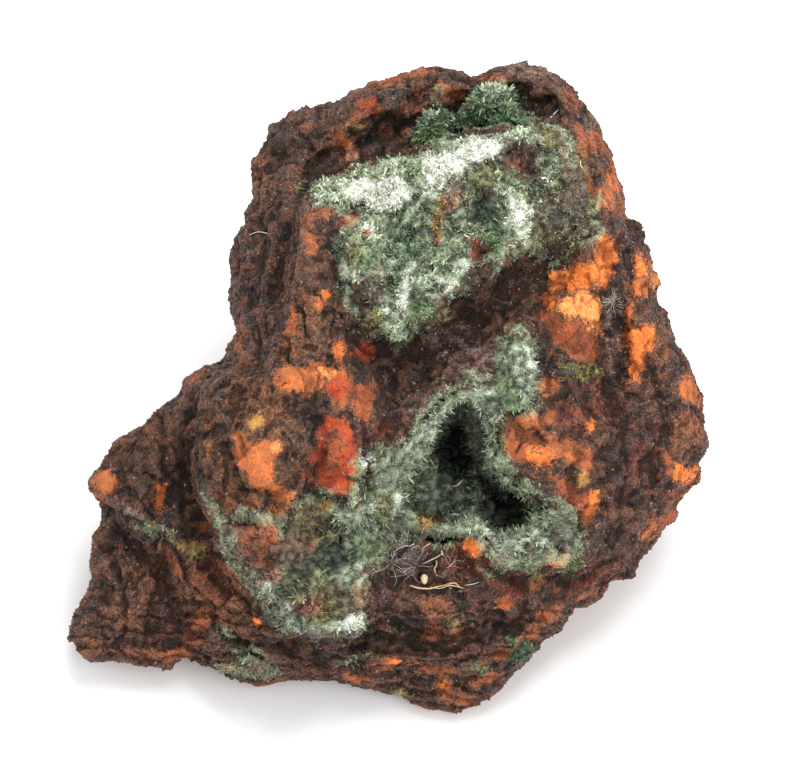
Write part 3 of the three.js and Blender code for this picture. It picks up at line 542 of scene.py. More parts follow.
# Colours of the crystals on the upper crust and on the rear cluster, in the same form.
UPPER_TINTS = [
    (-6.4, 19.4, 2, 1.6, 0, MINT, 0.8), (-1, 21.8, 5, 1, 0, MINT, 1),
    (3.4, 21.6, 4, 1.6, 18, PALE_MINT, 0.9), (-2.4, 20.4, 1.2, 0.6, 0, LEAF, 0.8),
    (1, 21.2, 1.2, 1.2, 0, LEAF, 0.75),
    ([(-5.8, 19.8), (-3.8, 20.8), (-2, 20.6), (0, 20.8), (1.4, 19.8), (0.7, 18.8), (-0.5, 17.4), (-2, 17.6),
      (-3.5, 18.3), (-5.2, 18.9)], WHITE, 1),
    ([(2.8, 22.4), (5, 23.4), (7, 24.4), (9, 24.8), (10.2, 24), (9, 23), (7, 22), (5.5, 21.2), (4, 20.6),
      (2.8, 21)], WHITE, 1),
    (3.4, 19.4, 1.4, 1, 0, PALE_MINT, 0.9), (6, 25, 4.4, 0.6, 12, MINT, 0.9),
    (12, 25.2, 3, 0.6, -5, MINT, 0.9), (14.6, 25.2, 1.6, 0.8, -30, YELLOW_GREEN, 0.8),
    (8.2, 21, 1.4, 1, 20, OLIVE, 0.7), (5.6, 19.8, 1, 0.9, 0, GREY_BROWN, 0.7),
    (5.4, 18.4, 1.4, 0.9, 0, SALMON, 0.62), (1.2, 13.8, 4.6, 4, 0, GREY_GREEN, 0.9),
    (0.2, 14.6, 1.8, 2, 0, BOTTLE, 0.62), (6.8, 17.2, 1.4, 2, 0, GREY_GREEN, 0.9),
    (8.3, 17.8, 1.1, 1.6, -20, DEEP_GREEN, 0.9), (8.4, 19.4, 0.5, 0.6, 0, GREY_BROWN, 0.9),
    (9.2, 15.8, 1, 1.4, 0, BOTTLE, 0.75),
    ([(10.5, 20), (11.5, 19), (12.5, 18.5), (13.3, 17), (13, 15.4), (12, 14.8), (11, 15.8), (10.3, 17.5)],
      PALE_MINT, 1),
    (11.5, 17.3, 0.7, 1.4, 0, WHITE, 0.9), (3.9, 16.8, 0.6, 2.2, -8, OCHRE, 0.55),
    (3.6, 14.6, 0.5, 0.8, 0, RUST, 0.55), (-3.2, 15.8, 1, 0.9, 0, PALE_MINT, 1),
    (-3.6, 15, 0.35, 0.3, 0, SALMON, 1), (-4.6, 13.4, 1.1, 1.2, 0, OLIVE, 0.66),
    (-4.8, 10.8, 1, 2, 10, MINT, 0.9), (-3, 12.4, 0.9, 0.9, 0, LEAF, 0.8),
    (-4.5, 9, 0.9, 0.7, 0, DEEP_GREEN, 1), (-2.4, 10, 1.4, 1.6, 0, GREY_BROWN, 0.55),
    ([(0.2, 11.6), (0.9, 12), (1.1, 9), (0.6, 7.6), (-0.6, 8.1), (0.1, 9.2)], WHITE, 1),
    ([(3.8, 11.1), (4.8, 11.4), (5.7, 10.2), (5, 9.6), (3.7, 10.5)], WHITE, 1),
    (1.6, 9, 0.5, 0.6, 0, DEEP_GREEN, 1), (2.8, 10.6, 0.9, 1.2, 0, MINT, 0.8),
    (2.4, 7.8, 1.4, 1, 20, LEAF, 0.75), (6.2, 12.2, 0.8, 0.8, 0, PALE_MINT, 0.85),
    (7.4, 13.7, 0.6, 0.9, 0, RED, 0.95), (8.2, 13.6, 0.5, 0.8, 0, CHOCOLATE, 0.9),
    (9.2, 14.1, 0.7, 1.2, 0, LEAF, 0.95), (9.6, 12.6, 0.8, 0.7, 0, MINT, 0.9),
    (-2.4, 6.6, 1.2, 1.2, 0, YELLOW_GREEN, 0.75), (-0.5, 6.4, 0.9, 1.1, 0, MINT, 0.85),
    ([(10.4, 22.5), (10.5, 24.2), (11.5, 24.4), (13, 24.2), (14, 23), (13.8, 21.2), (12.8, 20.8),
      (11.5, 21.5)], CHOCOLATE, 1),
    (11.4, 22.4, 0.6, 0.8, 0, RUST, 0.85), (13.7, 21.6, 0.4, 1, 0, RED_BROWN, 0.9),
    (14.8, 20.8, 1.2, 2.4, 10, MINT, 0.75), (16, 20.4, 0.8, 1.4, 0, BOTTLE, 0.75),
    (16.8, 18.4, 2.4, 2.4, 0, OLIVE, 0.6), (15.6, 15.6, 2.4, 2.2, 0, OLIVE, 0.6),
    (15.4, 16.8, 1.6, 1.4, 0, GREY_GREEN, 0.62), (18.2, 22.4, 0.9, 2.4, 15, YELLOW_GREEN, 0.7),
]

REAR_TINTS = [
    (9.4, 28.4, 1.8, 1.6, 0, GREY_GREEN, 0.8), (9.6, 29.6, 1.4, 0.6, 0, MINT, 0.7),
    (9, 27, 3, 1, 0, BOTTLE, 0.9), (3.4, 25.6, 2, 0.8, 20, LEAF, 0.7),
]

# Colours of the crystals on the banks of the vug, on its floor and on the nose below it, with painted shade
# in the vug's two deep holes and painted light on its shaded upper wall.
VUG_TINTS = [
    (5.4, -8.6, 6, 3.4, 0, GREY_GREEN, 1), (2, -9.4, 3, 2, 10, MINT, 0.6),
    (4, -12.6, 4, 1.6, 0, GREY_GREEN, 0.8), (5.6, -7.8, 2.4, 1.4, 30, DEEP_GREEN, 0.8),
    # painted shade: the two deep holes of the vug, near black
    ([(3.4, -6.8), (4.3, -5.2), (4.9, -4), (5.6, -3.2), (6.3, -4), (6.6, -5.6), (7.4, -7.2), (6.4, -7.6),
      (5, -7)], PAINTED_HOLE_SHADE, 1),
    ([(7.4, -8.6), (9, -8.6), (10.6, -9.4), (12, -10.6), (12, -12), (11.2, -13.2), (10, -12.6), (8.8, -11)],
      PAINTED_HOLE_SHADE, 0.95),
    (12.4, 1, 1.2, 5, 8, MINT, 0.6), (12.8, 3, 0.6, 1, 0, PALE_MINT, 0.8),
    # painted light: the two PALE_MINT spots on the next line lighten the shaded upper wall of the vug
    (7.8, -4, 1.1, 3.4, 8, PALE_MINT, 0.9), (5, -2.4, 2, 0.9, 25, PALE_MINT, 0.9),
    (10.6, -0.4, 1.2, 2.4, 0, LEAF, 0.75), (9.6, -6, 1, 3.4, 14, GREY_GREEN, 0.9),
    (10, -4.4, 1, 1.6, 0, OLIVE, 0.72), (5.4, -1.6, 3.2, 1, 30, MINT, 0.9),
    (2.4, -4.6, 2.4, 1.4, 40, MINT, 0.9), (-1, -7.4, 2.6, 1.6, 30, GREY_GREEN, 0.8),
    (-2.8, -7, 0.7, 0.7, 0, WHITE, 0.9), (-0.6, -10, 1.4, 3, 0, GREY_GREEN, 0.8),
    (-0.4, -10.8, 0.5, 0.5, 0, WHITE, 1), (-1.6, -11.2, 0.8, 1.6, 0, YELLOW_GREEN, 0.6),
    (2.6, -13, 1, 0.7, 0, OCHRE, 0.75), (3.6, -12.6, 0.4, 0.3, 0, RUST, 0.9),
    (8, -12.6, 3, 1, 0, MINT, 0.7), (14.4, -12, 3, 2, -10, GREY_GREEN, 0.8),
    (10.4, -15.8, 1.8, 1.6, 0, MINT, 0.75), (-6, -16, 4.6, 4.6, 20, GREY_GREEN, 0.9),
    (-7.6, -13, 3.6, 2.6, 20, OLIVE, 0.55), (-9.6, -15.6, 2, 2.6, 20, BROWN, 0.52),
    (-8.4, -19.6, 3, 2.4, -20, OLIVE, 0.55), (-5.6, -20.4, 2.4, 2, 0, BROWN, 0.48),
    (-4.4, -11.6, 2.4, 1, 10, MINT, 0.66), (-5, -12.6, 2.4, 1.2, 0, GREY_GREEN, 0.8),
    (-6.6, -15.8, 1.8, 1.6, 20, DEEP_GREEN, 0.7), (-9.6, -17.6, 1.4, 1.2, 0, DEEP_GREEN, 0.7),
    (-3.4, -15.4, 1.4, 1.4, 0, LEAF, 0.75), (-4.4, -18, 1.6, 1.2, 40, MINT, 0.75),
    (-7.9, -11.7, 1, 0.9, 0, OLIVE, 0.8), (-7.5, -11.6, 0.6, 0.5, 0, OCHRE, 0.7),
    (-9.4, -13.6, 1.6, 1.2, -20, OLIVE, 0.75), (-9, -14.6, 0.6, 0.6, 0, RED_BROWN, 0.7),
    (-11.6, -13.8, 1, 0.9, 0, GREY_GREEN, 0.75),
    ([(-17, -12.4), (-15.2, -12.6), (-12.4, -13), (-11.4, -15), (-11.6, -16.8), (-12.8, -17.6),
      (-14.2, -17), (-15.4, -15.6), (-16.6, -14)], RUST, 0.85),
    (-14, -16.4, 1, 1.2, 30, DARK_RED, 0.75), (-16.9, -13.6, 0.6, 1.6, 35, MINT, 0.85),
    (-15.6, -17, 0.6, 1.6, 40, GREY_GREEN, 0.85), (-14.8, -18.6, 1.1, 0.9, 0, GREY_GREEN, 0.9),
    (-12.6, -18.3, 1.3, 0.6, 25, SALMON, 0.8), (-12.9, -19.2, 0.8, 0.5, 25, PALE_MINT, 0.9),
    (-11.4, -16, 1, 0.9, 0, GREY_BROWN, 0.75), (-10.8, -21.4, 1.8, 1, -35, GREY_GREEN, 0.9),
    (-11, -21, 0.4, 0.35, 0, WHITE, 0.95), (-9, -20.6, 0.5, 0.35, 0, WHITE, 1),
    (-9, -21.4, 1.4, 1, 0, RED_BROWN, 0.7), (-6.8, -21.2, 1.4, 1.4, 0, OLIVE, 0.85),
    (-8, -22.6, 1.6, 0.8, -20, OLIVE, 0.8), (-6.6, -23.1, 1, 0.5, 15, PALE_MINT, 0.9),
    (-8.4, -23.6, 1.6, 0.5, 0, MINT, 0.7), (-10.2, -23.2, 0.8, 0.7, -40, MINT, 0.85),
    (-4.6, -22.7, 1, 0.7, 20, WHITE, 1),
]

SOFT_EDGE = 1.2  # how wide the edge of an area is


def signed_depth(x, y, outline):
    """How deep points lie inside an outline, in millimetres: less than 0 outside it."""
    corners = np.array(outline, dtype=float)
    best = np.full(len(x), FAR)
    inside = np.zeros(len(x), dtype=bool)
    for (ax, ay), (bx, by) in zip(corners, np.roll(corners, -1, axis=0)):
        wide, high = bx - ax, by - ay
        share = np.clip(((x - ax) * wide + (y - ay) * high) / (wide**2 + high**2), 0, 1)
        best = np.minimum(best, np.hypot(x - ax - share * wide, y - ay - share * high))
        if ay != by:
            crossed = (ay > y) != (by > y)
            inside ^= crossed & (x < ax + (y - ay) * wide / high)
    return np.where(inside, best, -best)


def ragged(places, face, seed):
    """Places along one direction of the face, shifted so that what is drawn there has ragged edges."""
    return places + 0.4 * layered_noise(face, 1.7, seed) + 0.2 * smooth_noise(face, 0.6, seed + 7)


def spots(face, table, seed):
    """How deep each point lies in each spot of a table, 0 outside it, up to its cover (N, M)."""
    x = ragged(face[:, 0], face, seed)
    y = ragged(face[:, 1], face, seed + 20)
    depth = np.empty((len(face), len(table)), dtype=np.float32)
    for k, spot in enumerate(table):
        if len(spot) == 3:
            depth[:, k] = np.clip(0.5 + signed_depth(x, y, spot[0]) / SOFT_EDGE, 0, 1) * spot[2]
            continue
        cx, cy, width, height, turn, _, cover = spot
        c, s = math.cos(math.radians(turn)), math.sin(math.radians(turn))
        across = ((x - cx) * c + (y - cy) * s) / width
        along = ((y - cy) * c - (x - cx) * s) / height
        depth[:, k] = np.clip(1.5 - np.hypot(across, along), 0, 1) * cover
    return depth


def colours_of(table):
    """The colour of each spot in a table."""
    return np.array([spot[-2] for spot in table])


def laid(colour, face, table, seed):
    """A colour for each point, with a table's spots laid over it one after the other."""
    depth = spots(face, table, seed)
    speckle = 0.35 * layered_noise(face, 0.8, seed + 9)
    for k, spot in enumerate(table):
        over = ramp(depth[:, k] / spot[-1] + speckle, 0.25, 0.75)[:, None] * (0.3 + 0.7 * spot[-1])
        colour = mixed(colour, spot[-2], over)
    return colour


# ---------------------------------------------------------------- materials


class Tree:
    """A material's nodes, with short names for the kinds that the specimen needs."""

    def __init__(self, name):
        self.material = bpy.data.materials.new(name)
        self.material.use_nodes = True
        self.nodes = self.material.node_tree.nodes
        self.shader = self.nodes["Principled BSDF"]
        place = self.node("TexCoord", {}, "Object")
        self.place = self.node("VectorMath", {0: place, "Scale": 1 / MM}, "Vector", operation="SCALE")

    def put(self, socket, value):
        """Link a socket to another, or set it to a plain value."""
        if isinstance(value, bpy.types.NodeSocket):
            self.material.node_tree.links.new(value, socket)
        else:
            socket.default_value = (*value, 1) if socket.type == "RGBA" else value

    def node(self, kind, inputs, output, **settings):
        """An output of a new node, with what goes into its inputs and its other settings."""
        made = self.nodes.new("ShaderNode" + kind)
        for key, value in settings.items():
            setattr(made, key, value)
        for key, value in inputs.items():
            self.put(made.inputs[key], value)
        return made.outputs[output]

    def maths(self, operation, *values):
        return self.node("Math", dict(enumerate(values)), "Value", operation=operation)

    def plus(self, first, second):
        return self.maths("ADD", first, second)

    def times(self, first, second):
        return self.maths("MULTIPLY", first, second)

    def attribute(self, name, output="Color"):
        return self.node("Attribute", {}, output, attribute_name=name)

    def noise(self, size, detail=4, roughness=0.55, shift=0):
        """Noise from 0 to 1 whose largest features are about that size, in millimetres."""
        place = self.node("VectorMath", {0: self.place, 1: (shift,) * 3}, "Vector", operation="ADD")
        inputs = {"Vector": place, "Scale": 1 / size, "Detail": detail, "Roughness": roughness}
        return self.node("TexNoise", inputs, "Fac")

    def cells(self, size):
        """A chance colour for each grain of about that size."""
        return self.node("TexVoronoi", {"Vector": self.place, "Scale": 1 / size}, "Color", feature="F1")

    def span(self, value, low, high, to_low=0.0, to_high=1.0):
        """A value from low to high, carried over smoothly to the range between two others."""
        inputs = {"Value": value, "From Min": low, "From Max": high, "To Min": to_low, "To Max": to_high}
        return self.node("MapRange", inputs, "Result", interpolation_type="SMOOTHSTEP")

    def blend(self, share, first, second):
        """Two numbers mixed: the first where the share is 0, the second where it is 1."""
        return self.node("Mix", {0: share, 2: first, 3: second}, 0, data_type="FLOAT")

    def mix(self, share, first, second, blend="MIX"):
        """Two colours mixed in the same way."""
        return self.node("Mix", {0: share, 6: first, 7: second}, 2, data_type="RGBA", blend_type=blend)

    def bump(self, height, distance, strength=1.0):
        inputs = {"Height": height, "Distance": distance * MM, "Strength": strength}
        self.put(self.shader.inputs["Normal"], self.node("Bump", inputs, "Normal"))

    def surface(self, colour, roughness, refraction):
        self.put(self.shader.inputs["Base Color"], colour)
        self.put(self.shader.inputs["Roughness"], roughness)
        self.shader.inputs["IOR"].default_value = refraction


def gossan_material():
    """Dark granular iron oxide, with earthy stains and painted shade laid where the attributes say, and
    painted glints.
    """
    t = Tree("gossan")
    broad = t.noise(4.5, 5, 0.6)
    cloud = t.noise(1.9, 3, 0.6, 53)
    middling = t.noise(1.1, 6, 0.7, 13)
    fine = t.noise(0.3, 4, 0.7, 29)
    speck = t.noise(0.13, 2, 0.6, 41)
    chance = t.cells(0.2)
    share = t.plus(t.times(fine, 0.6), t.times(speck, 0.4))

    # bare rock: near black, chocolate and brown, with grey and red-brown grains
    body = t.mix(t.span(broad, 0.36, 0.6), COAL, CHOCOLATE)
    body = t.mix(t.span(middling, 0.46, 0.7, 0, 0.8), body, BROWN)
    grain = t.mix(t.span(middling, 0.42, 0.58), GREY_BROWN, DARK_RED)
    body = t.mix(t.span(share, 0.5, 0.64, 0, 0.8), body, grain)

    # stains and painted shade: earthy stains are smoother, clouded with brown, and pass into the rock through
    # a rusty rim; the near-black ones in grooves and dents are painted shade
    stain_and_shade = t.attribute("stain_and_shade")
    earthy = t.span(t.node("SeparateColor", {"Color": stain_and_shade}, "Red"), 0.16, 0.34)
    ragged = t.times(t.maths("SUBTRACT", middling, 0.5), 1.3)
    speckled = t.times(t.maths("SUBTRACT", share, 0.5), t.span(earthy, 0, 1, 1.5, 0.7))
    depth = t.plus(t.attribute("stain_and_shade_depth", "Fac"), t.plus(ragged, speckled))
    rim = t.times(t.span(depth, 0.05, 0.45, 0, 0.7), earthy)
    body = t.mix(rim, body, t.mix(t.span(share, 0.42, 0.58), CHOCOLATE, t.mix(0.5, stain_and_shade, BROWN)))
    stained = t.span(depth, 0.28, 0.7)
    deep = t.mix(t.span(earthy, 0, 1, 0.6, 0.5), stain_and_shade, BROWN)
    mottled = t.mix(t.span(cloud, 0.42, 0.62, 0.85, 0), stain_and_shade, deep)
    mottled = t.mix(t.span(middling, 0.34, 0.56, 0.7, 0), mottled, t.mix(0.5, stain_and_shade, CHOCOLATE))
    mottled = t.mix(t.span(share, 0.34, 0.46, 0.75, 0), mottled, t.mix(0.65, stain_and_shade, COAL))
    body = t.mix(stained, body, mottled)
    dusted = t.span(t.plus(t.attribute("dust_depth", "Fac"), ragged), 0.4, 0.8, 0, 0.7)
    body = t.mix(dusted, body, t.attribute("dust"))

    # grains light and dark, lighter worn edges, painted shade in hollows, painted glints; calmer on earthy
    # stains
    calm = t.times(t.times(earthy, stained), 0.72)
    grainy = t.span(t.plus(t.times(chance, 0.5), speck), 0.5, 1, 0.5, 1.65)
    wear_and_hollow_shade = t.span(t.attribute("relief", "Fac"), -1, 1, 0.35, 1.5)
    light = t.times(t.blend(calm, grainy, 1.08), t.blend(t.times(calm, 0.5), wear_and_hollow_shade, 1.04))
    body = t.mix(1.0, body, light, "MULTIPLY")
    # painted glints: sparse pale specks on the bare rock stand in for sparkling facets
    glint = t.times(t.span(chance, 0.93, 0.95, 0, 0.5), t.blend(calm, 1.0, 0.0))
    body = t.mix(glint, body, PAINTED_GLINT)

    height = t.plus(t.times(fine, 1.3), t.times(speck, 0.5))
    t.bump(t.times(height, t.blend(calm, 1.0, 0.5)), 0.2)
    t.surface(body, t.span(stained, 0, 1, 0.6, 0.9), 1.38)
    return t.material


def crystal_material():
    """Small glassy crystals, each with the colour that its attribute gives."""
    t = Tree("green_crystal")
    tint = t.attribute("tint")
    cloud = t.noise(0.35, 4, 0.7)
    speck = t.noise(0.14, 2, 0.6, 17)
    shade = t.mix(1.0, tint, DEEP_SHADE, "MULTIPLY")
    body = t.mix(t.span(cloud, 0.36, 0.6, 0.5, 0), tint, shade)
    body = t.mix(1.0, body, t.span(speck, 0.3, 0.7, 0.6, 1.5), "MULTIPLY")
    body = t.mix(t.span(speck, 0.33, 0.45, 0.65, 0), body, t.mix(0.3, COAL, tint))
    t.surface(body, t.span(cloud, 0.3, 0.7, GLASSY - 0.1, GLASSY + 0.15), 1.55)
    t.bump(t.plus(cloud, speck), 0.12, 0.8)
    return t.material


# ---------------------------------------------------------------- the rock

ROCK_VOXEL = 0.26
ROCK_TRIANGLES = 197000  # at most, after thinning
FINE_RELIEF, BROAD_RELIEF = 0.08, 0.35  # what counts as standing out, near by and over a wider stretch
HIDDEN_KEPT = 0.4  # the share of triangles that the hidden side keeps in the first thinning

# Grooves (and ridges, less than 0 deep) on the display face: width, depth and the line each follows.
GROOVES = [
    (0.9, 0.9, [(20.6, 14), (21.2, 9), (21.6, 4), (21, -2)]),
    (1.2, 0.8, [(-6.6, 22.6), (-2, 25), (2, 26.6), (5.6, 28)]),
    (1.1, 1, [(-20, -1), (-20.8, -6), (-20.6, -12), (-19.2, -16.4)]),
    (0.5, 0.8, [(-30, -11.6), (-26.4, -13.2), (-23, -14.8), (-20.6, -19.6), (-17.6, -24.4), (-14, -27)]),
    (0.3, 0.45, [(-15.4, -9.6), (-13.6, -9.8), (-12.2, -10.4)]),
    (0.5, 0.6, [(-8.2, -3), (-7.9, -6), (-8.8, -9.6), (-7, -11)]),
    (0.3, 0.5, [(-3.4, -3.4), (-3.2, -5.6), (-3, -9)]),
    (0.25, 0.4, [(15.8, 10.4), (16.8, 9.2), (17.4, 7.6), (19.2, 6.2)]),
    (0.25, 0.35, [(18.6, 11), (18.8, 9.4), (19.8, 8.6)]), (0.4, 0.6, [(20.2, 10), (19.8, 6), (20, 2)]),
    (0.5, 0.6, [(-4.4, -25.2), (1.4, -25.8), (6, -25.2), (11.6, -23.4)]),
    (0.5, 0.6, [(-6, -28), (0, -28), (5.4, -27.2), (10.6, -26.2)]),
    (0.6, 0.7, [(-16, -25.4), (-11, -25), (-6.4, -24.8)]),
    (0.6, 0.6, [(10, -18.4), (14, -19.4), (18, -18.6), (21.6, -17)]),
    (0.6, 0.6, [(-26, 0.6), (-24, -3), (-23.4, -8)]), (0.5, 0.6, [(-29, -16), (-27.4, -21), (-28, -25)]),
    (0.5, 0.6, [(-24.6, -15), (-24, -20), (-25, -25.6)]),
    (0.6, 0.7, [(-14.6, 21), (-13.4, 14), (-14.6, 8), (-13.8, 2)]),
    (0.5, 0.5, [(6, 29.4), (10, 29.8), (14, 30.4), (17, 28.8)]),
    (0.5, 0.6, [(23, 15.4), (23.2, 9), (24.8, 1), (26.6, -4)]),
    (0.4, 0.5, [(22, -2), (22.4, -8), (21.6, -14)]),
    (1, -0.7, [(-8.4, 18), (-9.2, 14), (-9, 9), (-8.2, 4)]),
    (0.5, -0.5, [(-19, 2), (-19, -4), (-19, -9), (-18, -13)]),
    (0.6, 0.7, [(-11.4, 16), (-11.8, 11), (-11.6, 6)]), (0.5, 0.6, [(-6.2, 13), (-5.8, 10), (-6.4, 6)]),
]

# Lumps and dents on the display face: place, half width, half height, and how far they stand out.
LUMPS = [
    (7.3, -15.3, 1.3, 1.3, 0.7), (-29.3, -9.2, 1.5, 1.4, 0.5), (-13, -7.4, 2.4, 2.8, 0.4),
    (-11.6, -5, 1.2, 1.2, 0.4), (-5.6, -7, 2, 3, 0.4), (-9, 1, 2.4, 1.8, 0.5), (-24, -10.4, 0.7, 1.4, 0.4),
    (15.7, -16.4, 1.6, 0.9, 0.5), (17.4, 8.2, 2.8, 2, 0.35), (24.2, 5, 1.4, 3.4, 0.5),
    (13.6, -6, 2.6, 1, 0.4), (12.6, -2.8, 1.2, 1, 0.4), (18.2, -9, 1.2, 3.4, 0.5),
    (-4.4, -19.8, 0.8, 1.4, 0.4), (-8, 17.3, 1.8, 1, 0.4), (9.4, -22.6, 1.2, 1.8, -0.8),
    (-2, -25, 2, 0.9, -0.6), (1.6, -19.2, 3, 1.2, -0.5), (15, 28, 2.2, 1.2, -0.6),
    (-18.4, -15.6, 1.2, 1.4, -0.6), (-22.4, -21.4, 1.2, 2, -0.5), (23, -13, 2, 1.6, 0.5),
    (-11, 20, 1.6, 2.2, 0.5), (-16.4, 16, 1.6, 3, 0.4), (-10, 27, 2.2, 1.6, 0.4), (-12.4, 6, 1.8, 2.4, 0.4),
]

EARTHY = colours_of(ROCK_STAINS_AND_SHADE)[:, 0] > 0.8 * RUST[0]


def away_from(face, line):
    """Each point's distance to a broken line across the face."""
    best = np.full(len(face), FAR)
    corners = np.array(line, dtype=float)
    for a, b in zip(corners[:-1], corners[1:]):
        share = np.clip(((face[:, :2] - a) @ (b - a)) / ((b - a) @ (b - a)), 0, 1)
        best = np.minimum(best, np.linalg.norm(face[:, :2] - (a + share[:, None] * (b - a)), axis=1))
    return best


def carved(face, front):
    """The listed grooves and lumps of the display face."""
    warped = face.copy()
    warped[:, 0] += 0.5 * layered_noise(face, 1.6, 301)
    warped[:, 1] += 0.5 * layered_noise(face, 1.6, 311)
    total = np.zeros(len(face))
    for width, depth, line in GROOVES:
        total -= depth * np.exp(-((away_from(warped, line) / width) ** 2))
    for cx, cy, width, height, out in LUMPS:
        reach = np.hypot((warped[:, 0] - cx) / width, (warped[:, 1] - cy) / height)
        total += out * (1 - ramp(reach, 0.6, 1.2))
    return total * front


def hackly(points, face, front, earthy):
    """The broken, granular and pitted surface of the rock, calmer where it is earthy."""
    bent = points + 0.35 * layered_noise(points, 1.4, 71)[:, None]
    total = 0.3 * layered_noise(points, 6, 81) + 0.62 * chips(bent, 3.6, 61)
    sharp = 0.34 * chips(bent, 1.5, 51) + 0.12 * layered_noise(points, 0.8, 91)
    pits = smooth_noise(points, 0.9, 96) + 0.5 * smooth_noise(points, 5, 97)
    sharp -= 0.3 * ramp(pits, 0.5, 0.85)
    total += sharp * (1 - 0.65 * earthy)
    ledges = (face[:, 1] + 0.12 * face[:, 0] + 0.9 * layered_noise(points, 4, 101)) / 1.25
    step = ledges - np.floor(ledges)
    layered = (1 - ramp(face[:, 1], -24, -19)) * front
    total += 0.45 * (step - 0.5) * layered
    return total


def rock_shape():
    """The rock's fine mesh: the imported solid, carved, roughened and thinned."""
    points, triangles = fine_mesh("gossan_matrix", ROCK_VOXEL)
    normals = broad_normals(points, triangles, 6)
    face = to_face(points)
    front = ramp(normals @ FACE_AXES[2], 0.05, 0.45)
    earthy = ramp(spots(face, ROCK_STAINS_AND_SHADE, 401).max(axis=1, where=EARTHY, initial=0), 0.4, 0.6) * front
    height = hackly(points, face, front, earthy) + carved(face, front)
    # calmer near the floor and in creases, where a rough surface would cut through itself
    height *= 0.25 + 0.75 * ramp(points[:, 2], 0.1, 1.5)
    crease = -standing_out(points, triangles, normals, 16)
    height *= 1 - 0.85 * ramp(crease, 0.04, 0.14)
    seated = points[:, 2] < 0.02
    points = above_floor(points + normals * height[:, None])
    points[seated, 2] = 0
    if ROCK_TRIANGLES < len(triangles):
        points, triangles = thinned(points, triangles)
        points = above_floor(points)
    return points, triangles


def thinned(points, triangles):
    """The same shape with fewer triangles, most of them kept on the display side."""
    mesh = bpy.data.meshes.new("carrier")
    mesh.from_pydata((points * MM).tolist(), [], triangles.tolist())
    carrier = carrier_of(mesh)
    turned_away = (point_normals(points, triangles) @ FACE_AXES[2] < -0.1) | (points[:, 2] < 0.5)
    group = carrier.vertex_groups.new(name="hidden")
    group.add(np.flatnonzero(turned_away).tolist(), 1, "REPLACE")
    hidden = carrier.modifiers.new("hidden", "DECIMATE")
    hidden.ratio = 1 - (1 - HIDDEN_KEPT) * turned_away[triangles].all(axis=1).mean()
    hidden.vertex_group = "hidden"
    bpy.context.view_layer.update()
    left = len(worked(carrier).data.polygons)
    if left > ROCK_TRIANGLES:
        whole = carrier.modifiers.new("whole", "DECIMATE")
        whole.ratio = ROCK_TRIANGLES / left
    return arrays_of(carrier)


def standing_out(points, triangles, normals, rounds):
    """How far each point stands out from its neighbourhood, less than 0 in a hollow."""
    return np.einsum("ij,ij->i", points - evened(points, triangles, rounds), normals)


def relief_of(points, triangles):
    """How far each point stands out (+) or lies in a hollow (-), from -1 to 1."""
    normals = point_normals(points, triangles)
    near = standing_out(points, triangles, normals, 4)
    wide = standing_out(points, triangles, normals, 30)
    return np.clip(near / FINE_RELIEF * 0.5 + wide / BROAD_RELIEF * 0.7, -1, 1)


def hidden_side_stain(points):
    """Stains for the sides and the back: broad rusty fields and a few bright spots."""
    field = layered_noise(points, 9, 201) + 0.5 * layered_noise(points, 3, 211)
    bright = layered_noise(points, 4.5, 221)
    tone = layered_noise(points, 6, 231)[:, None]
    colour = np.where(tone > 0.3, RUST, np.where(tone > -0.1, RED_BROWN, BROWN))
    colour = np.where((bright > 0.5)[:, None], CLAY, colour)
    depth = 0.3 + 0.36 * field + 0.3 * ramp(bright, 0.42, 0.55)
    return colour, np.clip(depth, 0, 0.85)


def rock_paint(points, normals, relief):
    """The attributes that the rock's material reads, for points of the rock's surface."""
    face = to_face(points)
    front = ramp(normals @ FACE_AXES[2], -0.05, 0.3)
    depth = spots(face, ROCK_STAINS_AND_SHADE, 401)
    strongest = depth.argmax(axis=1)
    covers = depth.max(axis=1)
    for k in range(depth.shape[1]):
        on_top = depth[:, k] > 0.5
        strongest = np.where(on_top, k, strongest)
        covers = np.where(on_top, depth[:, k], covers)
    stain_and_shade = colours_of(ROCK_STAINS_AND_SHADE)[strongest]
    back_colour, back_depth = hidden_side_stain(points)
    stain_and_shade = mixed(back_colour, stain_and_shade, front[:, None])
    green = spots(face, ROCK_DUST, 451)
    dust = colours_of(ROCK_DUST)[green.argmax(axis=1)]
    green = green.max(axis=1) * front
    patchy = layered_noise(points, 1.6, 471) + 0.7 * smooth_noise(points, 4, 481)
    fringe = 0.85 + 0.4 * patchy - away_from_crusts(points) / FRINGE
    crust_colour = laid(np.tile(GREY_GREEN, (len(points), 1)), face, CRUST_TINTS, 461)
    dust = np.where((fringe > green)[:, None], crust_colour, dust)
    green = np.maximum(green, fringe)
    return {
        "stain_and_shade": with_alpha(stain_and_shade),
        "stain_and_shade_depth": np.maximum(0.9 * covers * front, back_depth * (1 - 0.7 * front)),
        "dust": with_alpha(dust),
        "dust_depth": green,
        # the relief paints shade into hollows and lightens worn ridges in the material
        "relief": relief,
    }


def away_from_crusts(points):
    """Each point's distance to the nearest crust, as far as the crusts' fringes reach."""
    found = (CRUST_TREE.find_nearest(Vector(point), FRINGE) for point in points)
    return np.array([FRINGE if hit[3] is None else hit[3] for hit in found])


def with_alpha(colour):
    """Colours with the fourth value that a colour attribute has."""
    return np.column_stack([colour, np.ones(len(colour))])


def tree_of(nodes):
    """A search tree over some nodes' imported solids."""
    corners, triangles = [], []
    for node in nodes:
        points, faces = mesh_arrays(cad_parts[node].data)
        triangles.append(faces + sum(len(c) for c in corners))
        corners.append(points)
    return BVHTree.FromPolygons(np.concatenate(corners).tolist(), np.concatenate(triangles).tolist())


